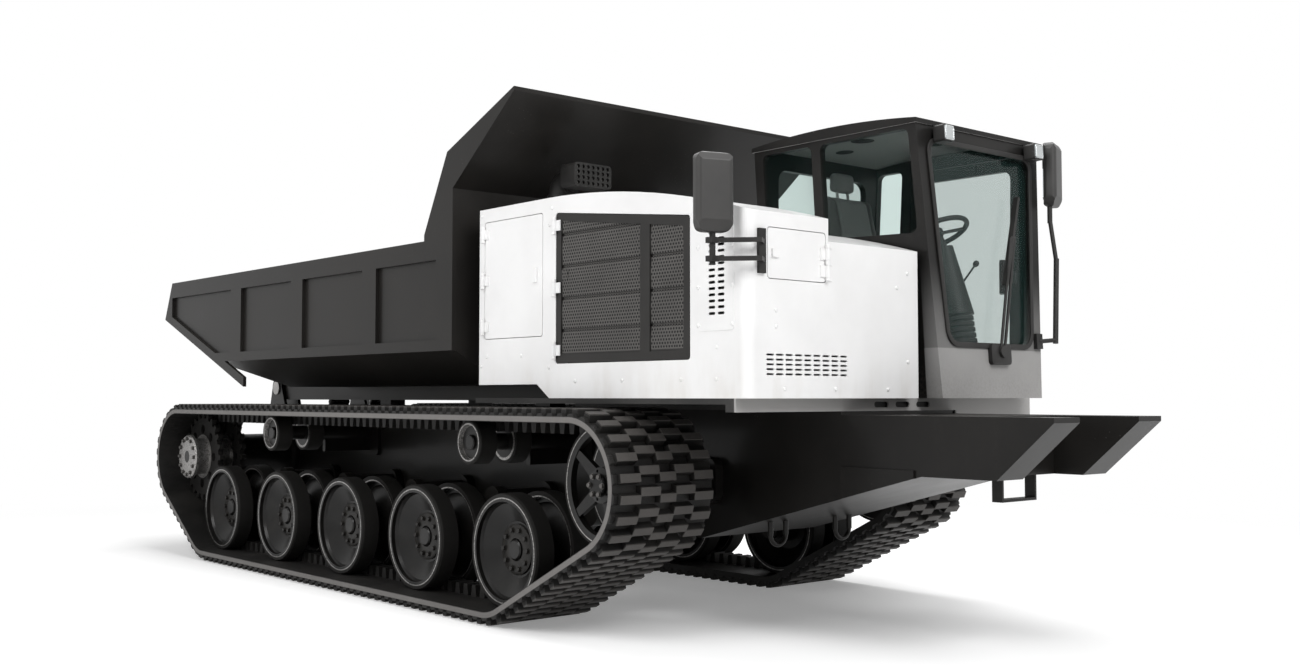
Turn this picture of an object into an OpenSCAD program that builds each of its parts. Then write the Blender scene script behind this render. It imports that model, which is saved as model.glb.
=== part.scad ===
// Crawler carrier: two rubber band tracks, a side cab, an engine hood and a tipping bed.
// X points forward, Y to the left, Z up. The origin lies on the ground below the middle of the outline.
// All sizes are in millimetres.

/* [Overall] */
// Length from the tail of the bed to the tips of the front prongs
overall_l = 8348; // [8200:2:8600]
// Width over the two bands
overall_w = 3000; // [2900:10:3200]

/* [Bands] */
// Width of one rubber band
band_w = 700; // [600:10:760]
// Thickness of a band between its lugs
band_t = 35; // [25:1:45]
// Height of the tread lugs
lug_h = 45; // [25:1:55]
// Width of the band's edge, where the lugs run down
band_edge_w = 28; // [15:1:40]
// Height of the lugs on the band's edge
edge_lug_h = 16; // [8:1:24]
// Wanted spacing of the tread lugs along the band
lug_pitch = 92; // [80:1:120]
// Length of a tread lug at its tip
lug_tip = 36; // [20:1:44]
// Length of a tread lug at its foot
lug_foot = 56; // [46:1:66]
// Share of the spacing by which neighbouring lanes of lugs are shifted
lug_shift = 0.34; // [0.1:0.02:0.5]
// Height of the guide lugs on the inside
guide_h = 70; // [40:1:80]
// Width of the guide lugs across the band
guide_w = 110; // [80:1:120]
// Height of the inside of the upper run above the ground
top_run_z = 1172; // [1150:1:1180]
// Clearance between a band and what rolls in it
track_gap = 0.4; // [0.3:0.05:0.8]

/* [Rolling parts] */
// Radius of a road wheel over its rubber tread
wheel_r = 335; // [320:1:345]
// Radius of the steel rim under the rubber
rim_r = 310; // [300:1:315]
// Width over the twin treads
wheel_w = 384; // [360:2:420]
// Gap between the twin treads, for the guide lugs
wheel_slot = 140; // [130:2:160]
// Depth from the outer face of a road wheel to its disc
dish_depth = 106; // [80:1:120]
// Spacing of the road wheels
wheel_pitch = 1000; // [960:5:1010]
// Distance of the rearmost road wheel ahead of the sprocket
sprocket_lead = 582; // [575:1:630]
// Radius of the road wheel and idler axles
axle_r = 45; // [35:1:50]
// Distance of the sprocket ahead of the hull's rear plate
sprocket_ahead = 369; // [340:1:400]
// Radius of the sprocket over its teeth
sprocket_r = 363; // [350:1:370]
// Number of teeth on each sprocket plate
sprocket_teeth = 24; // [18:1:30]
// Radius of the sprocket's hub cover
hub_cover_r = 182; // [170:1:190]
// Distance from the band's middle to the face of the hub cover
hub_cover_out = 249; // [235:1:280]
// Radius of the final drive's output shaft
drive_shaft_r = 80; // [60:1:90]
// Distance of the idler ahead of the foremost road wheel
idler_lead = 821; // [790:1:860]
// Radius of the idler
idler_r = 338; // [325:1:350]
// Width of the idler's flat rim face
idler_rim = 56; // [40:1:70]
// Number of spokes of the idler
idler_spokes = 5; // [4:1:7]
// Radius of the carrier rollers
roller_r = 135; // [125:1:145]
// Distance of the rear carrier roller ahead of the sprocket
rear_roller_lead = 1470; // [1410:1:1530]
// Distance of the front carrier roller behind the idler
front_roller_lag = 1199; // [1150:1:1250]
// Radius of the carrier roller axles
roller_axle_r = 30; // [24:1:34]
// Radial clearance of shafts and pins in their bores
run_gap = 0.3; // [0.1:0.05:0.5]

/* [Hull] */
// Width of the hull tub between the tracks
hull_w = 960; // [900:10:1000]
// Height of the belly above the ground
hull_bottom = 493; // [460:1:520]
// Height of the hull's top edge
hull_top = 1237; // [1225:1:1245]
// Thickness of the hull plates
hull_t = 20; // [12:1:30]
// Distance of the hull's rear plate behind the bed's hinge
hull_tail = 115; // [100:1:140]
// Place where the belly starts to rise to the front
belly_x = 1845; // [1800:5:1900]
// Place of the tow rings under the rising belly
tow_x = 2260; // [2200:5:2400]
// Distance that a suspension arm's pivot lies ahead of its wheel
arm_lead = 300; // [260:1:330]
// Height of a suspension arm's pivot above its wheel
arm_rise = 230; // [180:1:260]

/* [Front prongs] */
// Height of the prongs' top face
prong_top = 1218; // [1200:1:1237]
// Gap between the two prongs
prong_gap = 530; // [480:5:600]
// Place where the prongs leave the nose box
prong_root = 3700; // [3600:5:3780]
// Place where the rising belly ends in the prongs' flat underside
prong_flat_x = 3430; // [3380:5:3480]
// Place of the prongs' lower front edge
prong_low_x = 3865; // [3820:5:3950]
// Height of the prongs' flat underside
prong_low_z = 918; // [890:1:940]
// Front end of the plate on the nose box's side
nose_plate_x = 3389; // [3340:1:3420]
// Height of that plate's top edge
nose_plate_z = 947; // [942:1:980]
// Thickness of the nose plates
nose_t = 25; // [15:1:35]
// Width of the stirrup step
step_w = 300; // [250:5:400]
// Depth of the stirrup below the nose box
step_drop_z = 130; // [100:1:180]

/* [Deck] */
// Width of the deck
deck_w = 2510; // [2450:10:2560]
// Height of the deck's walking face
deck_top = 1305; // [1300:1:1320]
// Thickness of the deck plate over the tracks
deck_t = 30; // [20:1:34]
// Place of the deck's front edge
deck_front = 2913; // [2880:1:2940]
// Place of the deck's rear edge
deck_rear = 640; // [620:1:670]

/* [Hood] */
// Place of the hood's rear face
hood_rear = 677; // [670:1:720]
// Place of the hood's front face
hood_front = 2999; // [2980:1:3020]
// Height of the hood above the deck at the rear
hood_h = 1153; // [1120:1:1180]
// Length of the hood's flat top before it falls away
hood_flat = 688; // [600:1:760]
// Fall of the hood's top from the flat to the front
hood_fall = 233; // [200:1:260]
// Thickness of the hood's sheet
hood_t = 10; // [6:1:14]
// Distance of the step in the hood's top from the machine's middle
hood_step_y = 670; // [640:1:700]
// Drop of the hood's top at that step
hood_step = 117; // [90:1:140]
// Distance from the machine's middle to the hood wall beside the cab
hood_left = 60; // [40:1:80]
// Radius of the hood's front corner
hood_corner_r = 60; // [40:1:80]
// Height by which the hood's rear skirt is raised
skirt_rise = 80; // [60:1:100]
// Thickness of the hood doors
door_t = 24; // [18:1:30]
// Gap round a door in its opening
door_gap = 4; // [3:0.5:6]
// Radius of the hinge pins of the doors
hinge_r = 7; // [5:0.5:9]

/* [Cab] */
// Place of the cab's rear wall
cab_rear = 1759; // [1740:1:1780]
// Place of the cab's front at the floor
cab_front = 3086; // [3060:1:3100]
// Lean of the cab's front towards the rear at the roof
cab_lean = 87; // [60:1:110]
// Distance of the cab's right side from the machine's middle at the floor
cab_right = 161; // [155:1:190]
// Width of the cab at the floor
cab_w = 958; // [940:1:1000]
// Flare of each cab side from the floor to the roof
cab_flare = 109; // [90:1:115]
// Height of the cab's eaves
cab_eave = 2824; // [2780:1:2860]
// Thickness of the cab's posts and walls
cab_t = 45; // [35:1:55]
// Rise of the roof's arch above the eaves
roof_rise = 62; // [50:1:140]
// Thickness of the panes
glass_t = 8; // [6:1:10]
// Swing radius of the steering wheel's rim
steer_r = 190; // [170:1:210]

/* [Bed] */
// Width of the bed over its top rails
bed_w = 2700; // [2600:10:2760]
// Height of the top rails
rail_z = 2306; // [2250:1:2350]
// Height of the bed's underside
bed_floor_z = 1392; // [1380:1:1410]
// Place of the bed's front wall
bed_front = 513; // [490:1:530]
// Width of the flat part of the bed's underside
bed_flat_w = 1900; // [1700:10:2000]
// Height of the side walls' lower edge
side_low_z = 1600; // [1560:1:1650]
// Height of the tail's lower edge
tail_z = 1992; // [1950:1:2030]
// Thickness of the bed plates
bed_t = 14; // [10:1:20]
// Height of the peak of the canopy
peak_z = 3136; // [3080:1:3200]
// Place of the peak of the canopy
peak_x = 1169; // [1100:1:1220]
// Distance of the bed's hinge from the tail
tip_back = 409; // [395:1:430]
// Height of the bed's hinge
tip_z = 1392; // [1380:1:1400]
// Radius of the bed's hinge pins
tip_pin_r = 45; // [35:1:50]

/* [Hoist] */
// Length of both arms of the hoist triangle, from the bed's hinge to the ends of the cylinder
hoist_arm = 700; // [680:1:720]
// Angle between those arms at rest
hoist_angle = 60; // [58:0.5:62]
// Angle of the upper arm below the level at rest
hoist_dip = 3; // [2:0.5:5]
// Distance of the cylinders from the machine's middle
hoist_y = 200; // [180:1:210]
// Outer radius of a cylinder barrel
barrel_r = 80; // [70:1:85]
// Radius of a cylinder rod
rod_r = 45; // [35:1:50]
// Radius of the hoist pins
hoist_pin_r = 32; // [28:1:36]
// Travel of the bed pin along the slot in the rod eye, each way
eye_slack = 24; // [20:1:28]

/* [Hidden] */

$fn = 48;
tiny = 0.01;
wheel_count = 5;

// Bed hinge and hull tail, measured from the tail of the bed
tip_x = -overall_l / 2 + tip_back;
hull_rear = tip_x - hull_tail;

// Running gear, each piece placed from the one behind it
sprocket_x = hull_rear + sprocket_ahead;
rear_wheel_x = sprocket_x + sprocket_lead;
front_wheel_x = rear_wheel_x + (wheel_count - 1) * wheel_pitch;
idler_x = front_wheel_x + idler_lead;
rear_roller_x = sprocket_x + rear_roller_lead;
front_roller_x = idler_x - front_roller_lag;

charcoal = [0.11, 0.11, 0.11];
dark_steel = [0.16, 0.155, 0.15];
rubber_black = [0.07, 0.07, 0.07];
white_paint = [0.95, 0.95, 0.95];
mid_grey = [0.62, 0.61, 0.60];
light_grey = [0.74, 0.73, 0.72];
pane_green = [0.55, 0.68, 0.66];

// Running gear places
track_y = (overall_w - band_w) / 2;
wheel_z = lug_h + band_t + track_gap + wheel_r;
sprocket_z = top_run_z - track_gap - sprocket_r;
idler_z = top_run_z - track_gap - idler_r;
roller_z = top_run_z - track_gap - roller_r;
half_hull = hull_w / 2;
arm_in = track_y - wheel_w / 2 - 10;
arm_plate = 70;

// The band runs round four circles, listed in the order in which it passes them
loop_c = [[rear_wheel_x, wheel_z], [front_wheel_x, wheel_z], [idler_x, idler_z], [sprocket_x, sprocket_z]];
loop_r = [wheel_r + track_gap, wheel_r + track_gap, idler_r + track_gap, sprocket_r + track_gap];
loop_n = len(loop_c);
// Direction of the outward normal on the straight run that follows each circle
loop_a = [for (i = [0:loop_n - 1])
    let (j = (i + 1) % loop_n, d = loop_c[j] - loop_c[i])
    atan2(d.y, d.x) - acos((loop_r[i] - loop_r[j]) / norm(d))];
// Angle that the band turns through on each circle
loop_turn = [for (i = [0:loop_n - 1])
    let (t = loop_a[i] - loop_a[(i + loop_n - 1) % loop_n])
    t - 360 * floor(t / 360)];
loop_arc = [for (i = [0:loop_n - 1]) loop_r[i] * loop_turn[i] * PI / 180];
loop_run = [for (i = [0:loop_n - 1])
    let (j = (i + 1) % loop_n, d = norm(loop_c[j] - loop_c[i]))
    sqrt(d * d - (loop_r[i] - loop_r[j]) * (loop_r[i] - loop_r[j]))];
// Path length before each circle, closed by the whole length
loop_s = [for (i = 0, s = 0; i <= loop_n; s = s + (i < loop_n ? loop_arc[i] + loop_run[i] : 0), i = i + 1) s];
loop_l = loop_s[loop_n];
lug_n = round(loop_l / lug_pitch);
lug_step = loop_l / lug_n;

function polar(r, a) = r * [cos(a), sin(a)];

// Point at path length s, at a distance out from the band's inside
function on_loop(s, out) =
    let (w = s - loop_l * floor(s / loop_l))
    let (i = max([for (k = [0:loop_n - 1]) loop_s[k] <= w ? k : 0]))
    let (u = w - loop_s[i], a1 = loop_a[i], a0 = a1 - loop_turn[i])
    u < loop_arc[i]
        ? loop_c[i] + polar(loop_r[i] + out, a0 + loop_turn[i] * u / loop_arc[i])
        : loop_c[i] + polar(loop_r[i] + out, a1) + (u - loop_arc[i]) * [-sin(a1), cos(a1)];

// Inside of the band: flats that touch the circles from outside
arc_step = 7;
inside_loop = [for (i = [0:loop_n - 1])
    let (m = ceil(loop_turn[i] / arc_step), d = loop_turn[i] / m)
    for (k = [0:m - 1])
    loop_c[i] + polar(loop_r[i] / cos(d / 2), loop_a[i] - loop_turn[i] + (k + 0.5) * d)];

// Closed outline with one lug at each step; a negative height points the lugs inwards
function lug_loop(out, h, foot, tip, shift) = [for (k = [0:lug_n - 1])
    let (s = (k + shift) * lug_step)
    each [on_loop(s - foot / 2, out), on_loop(s - tip / 2, out + h),
        on_loop(s + tip / 2, out + h), on_loop(s + foot / 2, out)]];

function unit(v) = v / norm(v);

// Points of an arc of radius r that rounds the corner b between a and c
function corner(a, b, c, r, n) =
    let (u = unit(a - b), v = unit(c - b), h = acos(u * v) / 2, m = b + unit(u + v) * r / sin(h))
    let (p = b + u * r / tan(h) - m, q = b + v * r / tan(h) - m, a0 = atan2(p.y, p.x))
    let (d = atan2(q.y, q.x) - a0, turn = d > 180 ? d - 360 : d < -180 ? d + 360 : d)
    [for (i = [0:n]) m + polar(r, a0 + turn * i / n)];

// Outline with every corner rounded
function rounded(pts, r, n = 5) = [for (i = [0:len(pts) - 1])
    each corner(pts[(i + len(pts) - 1) % len(pts)], pts[i], pts[(i + 1) % len(pts)], r, n)];

function rect(a, b) = [a, [b.x, a.y], b, [a.x, b.y]];

// Outline in X and Z, extruded from y0 to y1
module side_prism(y0, y1) {
    translate([0, y1, 0]) rotate([90, 0, 0]) linear_extrude(y1 - y0) children();
}

// Outline in Y and Z, extruded from x0 to x1
module front_prism(x0, x1) {
    translate([x0, 0, 0]) rotate([90, 0, 90]) linear_extrude(x1 - x0) children();
}

module box(a, b) {
    translate(a) cube(b - a);
}

module both_sides() {
    children();
    mirror([0, 1, 0]) children();
}

// Puts a piece on the left track, or mirrors it to the right; local Z points outwards
module on_track(side, x, z) {
    mirror([0, side < 0 ? 1 : 0, 0]) translate([x, track_y, z]) rotate([-90, 0, 0]) children();
}

module revolve(profile) {
    rotate_extrude($fn = 72) polygon(profile);
}

module rod(p, q, r) {
    d = q - p;
    translate(p) rotate([0, acos(d.z / norm(d)), atan2(d.y, d.x)]) cylinder(h = norm(d), r = r);
}

module tapered_rod(p, q, r0, r1) {
    d = q - p;
    translate(p) rotate([0, acos(d.z / norm(d)), atan2(d.y, d.x)]) cylinder(h = norm(d), r1 = r0, r2 = r1);
}

// Round bar that runs past both of its points
module long_rod(p, q, r, past) {
    u = unit(q - p) * past;
    rod(p - u, q + u, r);
}

module cross_pin(x, z, y0, y1, r) {
    translate([x, y0, z]) rotate([-90, 0, 0]) cylinder(h = y1 - y0, r = r);
}

// Bands

lane_edges = [-band_w / 2, band_edge_w - band_w / 2, -band_w / 4 - guide_w / 8, -guide_w / 2, guide_w / 2,
    band_w / 4 + guide_w / 8, band_w / 2 - band_edge_w, band_w / 2];
lanes = len(lane_edges) - 1;

module band_lane(i) {
    middle = i == (lanes - 1) / 2;
    edge = i == 0 || i == lanes - 1;
    side_prism(lane_edges[i], lane_edges[i + 1]) difference() {
        polygon(lug_loop(band_t, edge ? edge_lug_h : lug_h, lug_foot, lug_tip, edge || i % 2 == 1 ? 0 : lug_shift));
        polygon(middle ? lug_loop(0, -guide_h, lug_foot, lug_tip, 0) : inside_loop);
    }
}

module track_band(side) {
    color(rubber_black) translate([0, side * track_y, 0])
        for (i = [0:lanes - 1]) band_lane(i);
}

// Road wheels: twin treads round a dished disc with a blind bore from the inside

module road_wheel(side, i) {
    face = wheel_w / 2;
    slot = wheel_slot / 2;
    disc = face - dish_depth;
    hub = axle_r + 67;
    bore = axle_r + run_gap;
    rim_in = rim_r - 25;
    tread_in = rim_r - 12;
    flare = disc + 79;
    web = 20;
    shoulder = 14;
    outer = [[hub + 53, disc], [rim_in - 12, flare - 18], [rim_in, flare], [rim_in, face], [rim_r, face],
        [wheel_r - shoulder / 2, face], [wheel_r, face - shoulder], [wheel_r, slot], [tread_in, slot],
        [tread_in, flare - 18 - web], [rim_in - 16, flare - 18 - web], [hub + 50, disc - web], [hub, disc - web - 4]];
    inner = [for (i = [len(outer) - 1:-1:0]) [outer[i].x, -outer[i].y]];
    color(dark_steel) on_track(side, front_wheel_x - (wheel_count - i) * wheel_pitch, wheel_z) difference() {
        revolve(concat([[0, disc + 30], [52, disc + 30], [60, disc + 22], [60, disc]], outer, inner,
            [[hub, -disc], [hub, -face], [bore, -face], [bore, disc - 45], [0, disc - 45]]));
        for (k = [0:5]) rotate(k * 60) translate([hub - 8, 0, disc - 12]) cylinder(h = 20, r = 11, $fn = 24);
    }
}

// Sprocket: two toothed plates on a drum with a hub cover

module tooth_plate(z) {
    root = sprocket_r - 42;
    pitch = 360 / sprocket_teeth;
    translate([0, 0, z]) linear_extrude(40) difference() {
        polygon([for (k = [0:sprocket_teeth - 1])
            each [polar(root, (k - 0.42) * pitch), polar(root, (k - 0.3) * pitch),
                polar(sprocket_r, (k - 0.16) * pitch), polar(sprocket_r, (k + 0.16) * pitch),
                polar(root, (k + 0.3) * pitch)]]);
        for (k = [0:7]) rotate(k * 45) translate([228, 0]) circle(38, $fn = 32);
    }
}

module sprocket(side) {
    plate = wheel_slot / 2 + 5;
    bore = drive_shaft_r + run_gap;
    cover = hub_cover_out;
    color(dark_steel) on_track(side, sprocket_x, sprocket_z) difference() {
        union() {
            revolve([[0, cover], [hub_cover_r - 12, cover], [hub_cover_r, cover - 12], [hub_cover_r, cover - 36],
                [150, cover - 46], [150, -plate - 55], [bore, -plate - 55], [bore, plate + 35], [0, plate + 35]]);
            difference() {
                union() {
                    tooth_plate(plate);
                    tooth_plate(-plate - 40);
                }
                translate([0, 0, -plate - 60]) cylinder(h = 2 * plate + 120, r = 140);
            }
        }
        for (k = [0:9]) rotate(k * 36) translate([140, 0, cover - 8]) cylinder(h = 20, r = 10, $fn = 24);
    }
}

module final_drives() {
    plate = wheel_slot / 2 + 5;
    color(charcoal) both_sides() translate([sprocket_x, half_hull, sprocket_z]) rotate([-90, 0, 0])
        revolve([[0, 0], [215, 0], [215, 40], [180, 60], [180, track_y - half_hull - plate - 90],
            [160, track_y - half_hull - plate - 56], [drive_shaft_r, track_y - half_hull - plate - 56],
            [drive_shaft_r, track_y - half_hull + plate + 34], [0, track_y - half_hull + plate + 34]]);
}

// Idler: an outer spoked rim and an inner disc on one hub

module idler(side) {
    slot = wheel_slot / 2;
    rim_t = 40;
    bore = axle_r + run_gap;
    hub_out = 155;
    color(dark_steel) on_track(side, idler_x, idler_z) difference() {
        union() {
            revolve([[0, hub_out], [58, hub_out], [64, hub_out - 8], [64, hub_out - 25], [98, hub_out - 30],
                [98, -slot], [idler_r, -slot], [idler_r, -slot - rim_t], [bore, -slot - rim_t],
                [bore, slot + rim_t], [0, slot + rim_t]]);
            revolve([[idler_r - idler_rim, slot], [idler_r, slot], [idler_r, slot + rim_t],
                [idler_r - idler_rim, slot + rim_t]]);
            for (k = [0:idler_spokes - 1]) rotate(k * 360 / idler_spokes)
                translate([0, 0, slot + 4]) linear_extrude(rim_t - 8)
                polygon([[85, -38], [idler_r - idler_rim + 6, -24], [idler_r - idler_rim + 6, 24], [85, 38]]);
        }
        for (k = [0:idler_spokes - 1]) rotate((k + 0.5) * 360 / idler_spokes)
            translate([80, 0, hub_out - 44]) cylinder(h = 20, r = 9, $fn = 24);
    }
}

module idler_yokes() {
    slot = wheel_slot / 2;
    rim_t = 40;
    inner = track_y - slot - rim_t - 4;
    color(charcoal) both_sides() union() {
        cross_pin(idler_x, idler_z, half_hull, inner, 88);
        cross_pin(idler_x, idler_z, inner - tiny, track_y + slot + rim_t - 1, axle_r);
        side_prism(half_hull, half_hull + 60)
            polygon(rounded(rect([idler_x - 420, idler_z - 130], [idler_x + 130, idler_z + 130]), 60));
        rod([idler_x - 420, half_hull + 190, idler_z], [idler_x, half_hull + 190, idler_z], 48);
        side_prism(half_hull, half_hull + 250)
            polygon(rounded(rect([idler_x - 520, idler_z - 75], [idler_x - 400, idler_z + 75]), 20));
    }
}

// Carrier rollers and their brackets

module carrier_roller(side, x) {
    face = wheel_w / 2;
    slot = wheel_slot / 2;
    bore = roller_axle_r + run_gap;
    groove = 52;
    color(dark_steel) on_track(side, x, roller_z)
        revolve([[0, face - 8], [40, face - 8], [46, face - 14], [46, face - 26], [102, face - 26],
            [108, face], [roller_r - 8, face], [roller_r, face - 8], [roller_r, slot], [groove, slot],
            [groove, -slot], [roller_r, -slot], [roller_r, 8 - face], [roller_r - 8, -face],
            [bore, -face], [bore, face - 60], [0, face - 60]]);
}

module roller_brackets() {
    inner = track_y - wheel_w / 2 - 4;
    depth = 150;
    color(charcoal) both_sides() for (x = [rear_roller_x, front_roller_x]) union() {
        cross_pin(x, roller_z, half_hull, inner, 58);
        cross_pin(x, roller_z, inner - tiny, track_y + wheel_w / 2 - 61, roller_axle_r);
        side_prism(half_hull, half_hull + 24)
            polygon(rounded(rect([x - depth, roller_z - 190], [x + depth, roller_z + 90]), 40));
        side_prism(half_hull, inner - 60)
            polygon([[x - 20, roller_z - 150], [x + 20, roller_z - 150], [x + 20, roller_z], [x - 20, roller_z]]);
    }
}

// Suspension arms: a pivot tube on the hull, a trailing link and the wheel's axle

module suspension_arms() {
    pivot_r = 92;
    boss_r = 84;
    link = [arm_lead, arm_rise];
    side_of = [-unit(link).y, unit(link).x];
    color(charcoal) both_sides() for (i = [0:wheel_count - 1]) union() {
        x = front_wheel_x - i * wheel_pitch;
        cross_pin(x + arm_lead, wheel_z + arm_rise, half_hull, arm_in, 70);
        cross_pin(x + arm_lead, wheel_z + arm_rise, half_hull, half_hull + 60, 106);
        cross_pin(x + arm_lead, wheel_z + arm_rise, arm_in - arm_plate, arm_in, pivot_r);
        cross_pin(x, wheel_z, arm_in - arm_plate, arm_in, boss_r);
        cross_pin(x, wheel_z, arm_in - tiny, track_y + wheel_w / 2 - dish_depth - 46, axle_r);
        side_prism(arm_in - arm_plate, arm_in) translate([x, wheel_z])
            polygon([side_of * 66, link + side_of * 74, link - side_of * 74, -side_of * 66]);
    }
}

// Hull tub, open at the top, with the lugs of the bed's hinge and the hoist's base

belly_slope = (prong_low_z - hull_bottom) / (prong_flat_x - belly_x);
rear_break = 480;
function hull_outline(in, top) = [[hull_rear + in, top], [hull_rear + in, hull_bottom + 400 + in / 2],
    [hull_rear + rear_break + in / 2, hull_bottom + in], [belly_x - in / 5, hull_bottom + in],
    [deck_front - in, hull_bottom + (deck_front - belly_x) * belly_slope + in], [deck_front - in, top]];

hoist_top = [tip_x, tip_z] + polar(hoist_arm, -hoist_dip);
hoist_base = [tip_x, tip_z] + polar(hoist_arm, -hoist_dip - hoist_angle);
hoist_l = norm(hoist_top - hoist_base);
hoist_dir = unit(hoist_top - hoist_base);
beam_y0 = half_hull - 130;
beam_y1 = half_hull - 30;
lug_t = 26;
cheek_gap = 4;
cheek_t = 22;
eye_w = 100;
tip_lug_r = 92;
rest_h = 50;

module tip_lug(y0) {
    side_prism(y0, y0 + lug_t) polygon([[tip_x - 150, hull_top - 60], [tip_x + 190, hull_top - 60],
        [tip_x + tip_lug_r, tip_z], [tip_x - tip_lug_r, tip_z]]);
    cross_pin(tip_x, tip_z, y0, y0 + lug_t, tip_lug_r);
}

module hull_tub() {
    base_z = hull_bottom + hull_t;
    color(charcoal) difference() {
        union() {
            difference() {
                side_prism(-half_hull, half_hull) polygon(hull_outline(0, hull_top));
                side_prism(hull_t - half_hull, half_hull - hull_t) polygon(hull_outline(hull_t, hull_top + 1));
            }
            box([hull_rear, -half_hull + 1, hull_top - 180], [tip_x + 120, half_hull - 1, hull_top]);
            both_sides() {
                tip_lug(beam_y0 - cheek_gap - lug_t);
                tip_lug(beam_y1 + cheek_gap);
                for (y = [hoist_y - eye_w / 2 - cheek_gap - cheek_t, hoist_y + eye_w / 2 + cheek_gap])
                    side_prism(y, y + cheek_t) polygon([[hoist_base.x - 190, base_z + 20],
                        [hoist_base.x + 190, base_z - 5], [hoist_base.x + 60, hoist_base.y + 50],
                        [hoist_base.x - 60, hoist_base.y + 50]]);
            }
            both_sides() for (x = [tip_x + 1865, bed_front - 313])
                box([x, beam_y0, hull_top - 40], [x + 160, half_hull - 1, hull_top + rest_h]);
        }
        both_sides() {
            cross_pin(tip_x, tip_z, beam_y0 - cheek_gap - lug_t - 1, half_hull + 1, tip_pin_r);
            cross_pin(hoist_base.x, hoist_base.y, hoist_y - eye_w, hoist_y + eye_w, hoist_pin_r);
        }
    }
}

// Nose box with its two prongs, open towards the hull

module front_prongs() {
    tip = overall_l / 2;
    root_z = hull_bottom + (deck_front - belly_x) * belly_slope;
    plate_z = root_z + (nose_plate_x - deck_front) * belly_slope;
    gap = prong_gap / 2;
    plate_t = 12;
    outline = [[deck_front, prong_top], [deck_front, root_z], [prong_flat_x, prong_low_z], [prong_low_x, prong_low_z],
        [tip, prong_top - 25], [tip, prong_top]];
    hollow = [[deck_front - 1, prong_top - nose_t], [deck_front - 1, root_z + nose_t + 2],
        [prong_flat_x, prong_low_z + nose_t], [prong_low_x - 2 * nose_t, prong_low_z + nose_t],
        [tip - 260, prong_top - nose_t]];
    color(charcoal) union() {
        difference() {
            side_prism(-half_hull, half_hull) polygon(outline);
            box([prong_root, -gap, 0], [tip + 1, gap, deck_top]);
            intersection() {
                side_prism(nose_t - half_hull, half_hull - nose_t) polygon(hollow);
                union() {
                    box([deck_front - 2, -half_hull, 0], [prong_root - nose_t, half_hull, deck_top]);
                    both_sides() box([deck_front - 2, gap + nose_t, 0], [tip, half_hull, deck_top]);
                }
            }
        }
        both_sides() side_prism(half_hull - 1, half_hull + plate_t) polygon([[deck_front, nose_plate_z],
            [deck_front, root_z], [nose_plate_x, plate_z], [nose_plate_x, nose_plate_z]]);
    }
}

module stirrup_step() {
    x = prong_root - 60;
    low = prong_low_z - step_drop_z;
    half = step_w / 2;
    t = 14;
    color(charcoal) difference() {
        box([x - 30, -half, low], [x + 30, half, prong_low_z]);
        box([x - 31, t - half, low + t], [x + 31, half - t, prong_low_z + 1]);
    }
}

module tow_rings() {
    x = tow_x;
    z = hull_bottom + (x - belly_x) * belly_slope;
    ring = 62;
    drop = 70;
    color(charcoal) both_sides() translate([x, 275, z - drop]) difference() {
        union() {
            rotate([90, 0, 90]) rotate([0, 0, 180]) rotate_extrude(angle = 180) translate([ring, 0]) circle(13);
            both_sides() translate([0, ring, -6]) cylinder(h = drop + 40, r = 16);
        }
        rotate([0, -atan(belly_slope), 0]) box([-200, -200, drop * cos(atan(belly_slope))], [200, 200, 200]);
    }
}

module deck() {
    beam_h = 68;
    beam_l = 70;
    lip_h = 32;
    slot_l = 120;
    color(light_grey) difference() {
        union() {
            box([deck_rear, -deck_w / 2, deck_top - deck_t], [deck_front, deck_w / 2, deck_top]);
            box([deck_rear, -half_hull, hull_top], [deck_front, half_hull, deck_top - tiny]);
            box([deck_front - beam_l, -deck_w / 2, deck_top - beam_h], [deck_front, deck_w / 2, deck_top - tiny]);
            box([deck_front - beam_l, half_hull + 30, deck_top - beam_h - lip_h], [deck_front, deck_w / 2, deck_top - beam_h + 1]);
        }
        for (k = [-1:1]) translate([deck_front, 30 + k * 180, deck_top - beam_h / 2])
            front_prism(-20, 1) polygon(rounded(rect([-slot_l / 2, -15], [slot_l / 2, 15]), 14.9));
    }
}

// Hood: a sheet shell whose top falls in an arc to the front, higher on the outer side

side_y = deck_w / 2;
hood_top = deck_top + hood_h;
arc_x = hood_rear + hood_flat;
arc_l = hood_front - arc_x;
arc_r = (arc_l * arc_l + hood_fall * hood_fall) / (2 * hood_fall);
function hood_line(x) = x < arc_x ? hood_top : hood_top - arc_r + sqrt(arc_r * arc_r - (x - arc_x) * (x - arc_x));
function top_curve(x0, x1, drop, n = 12) = [for (i = [0:n])
    let (x = x1 + (x0 - x1) * i / n) [x, hood_line(x) - drop]];

module hood_volume(in, drop, y0, y1) {
    intersection() {
        side_prism(y0, y1) polygon(concat([[hood_rear + in, deck_top - (in > 0 ? 1 : 0)],
            [hood_front - in, deck_top - (in > 0 ? 1 : 0)]],
            top_curve(arc_x, hood_front - in, drop + in), [[hood_rear + in, hood_top - drop - in]]));
        translate([0, 0, deck_top - 2]) linear_extrude(2 * hood_h)
            polygon(concat([[hood_rear - 1, y1 + 1], [hood_rear - 1, y0]],
                corner([hood_rear, y0], [hood_front - in, y0], [hood_front - in, y1],
                    hood_corner_r - in, 8), [[hood_front - in, y1 + 1]]));
    }
}

// Doors in the hood's side: rear and front edges, lower edge, and the sheet left above them
rear_door = [hood_rear + 55, hood_rear + 655, deck_top + 355, 80];
grille = [hood_rear + 780, hood_front - 410, deck_top + 195, 92];
vent_panel = [hood_front - 342, hood_front - 109, deck_top + 351, 108];
// Door in the hood's front: outer and inner edge, lower and upper edge
front_door = [135 - side_y, 565 - side_y, deck_top + 587, deck_top + 845];

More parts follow.
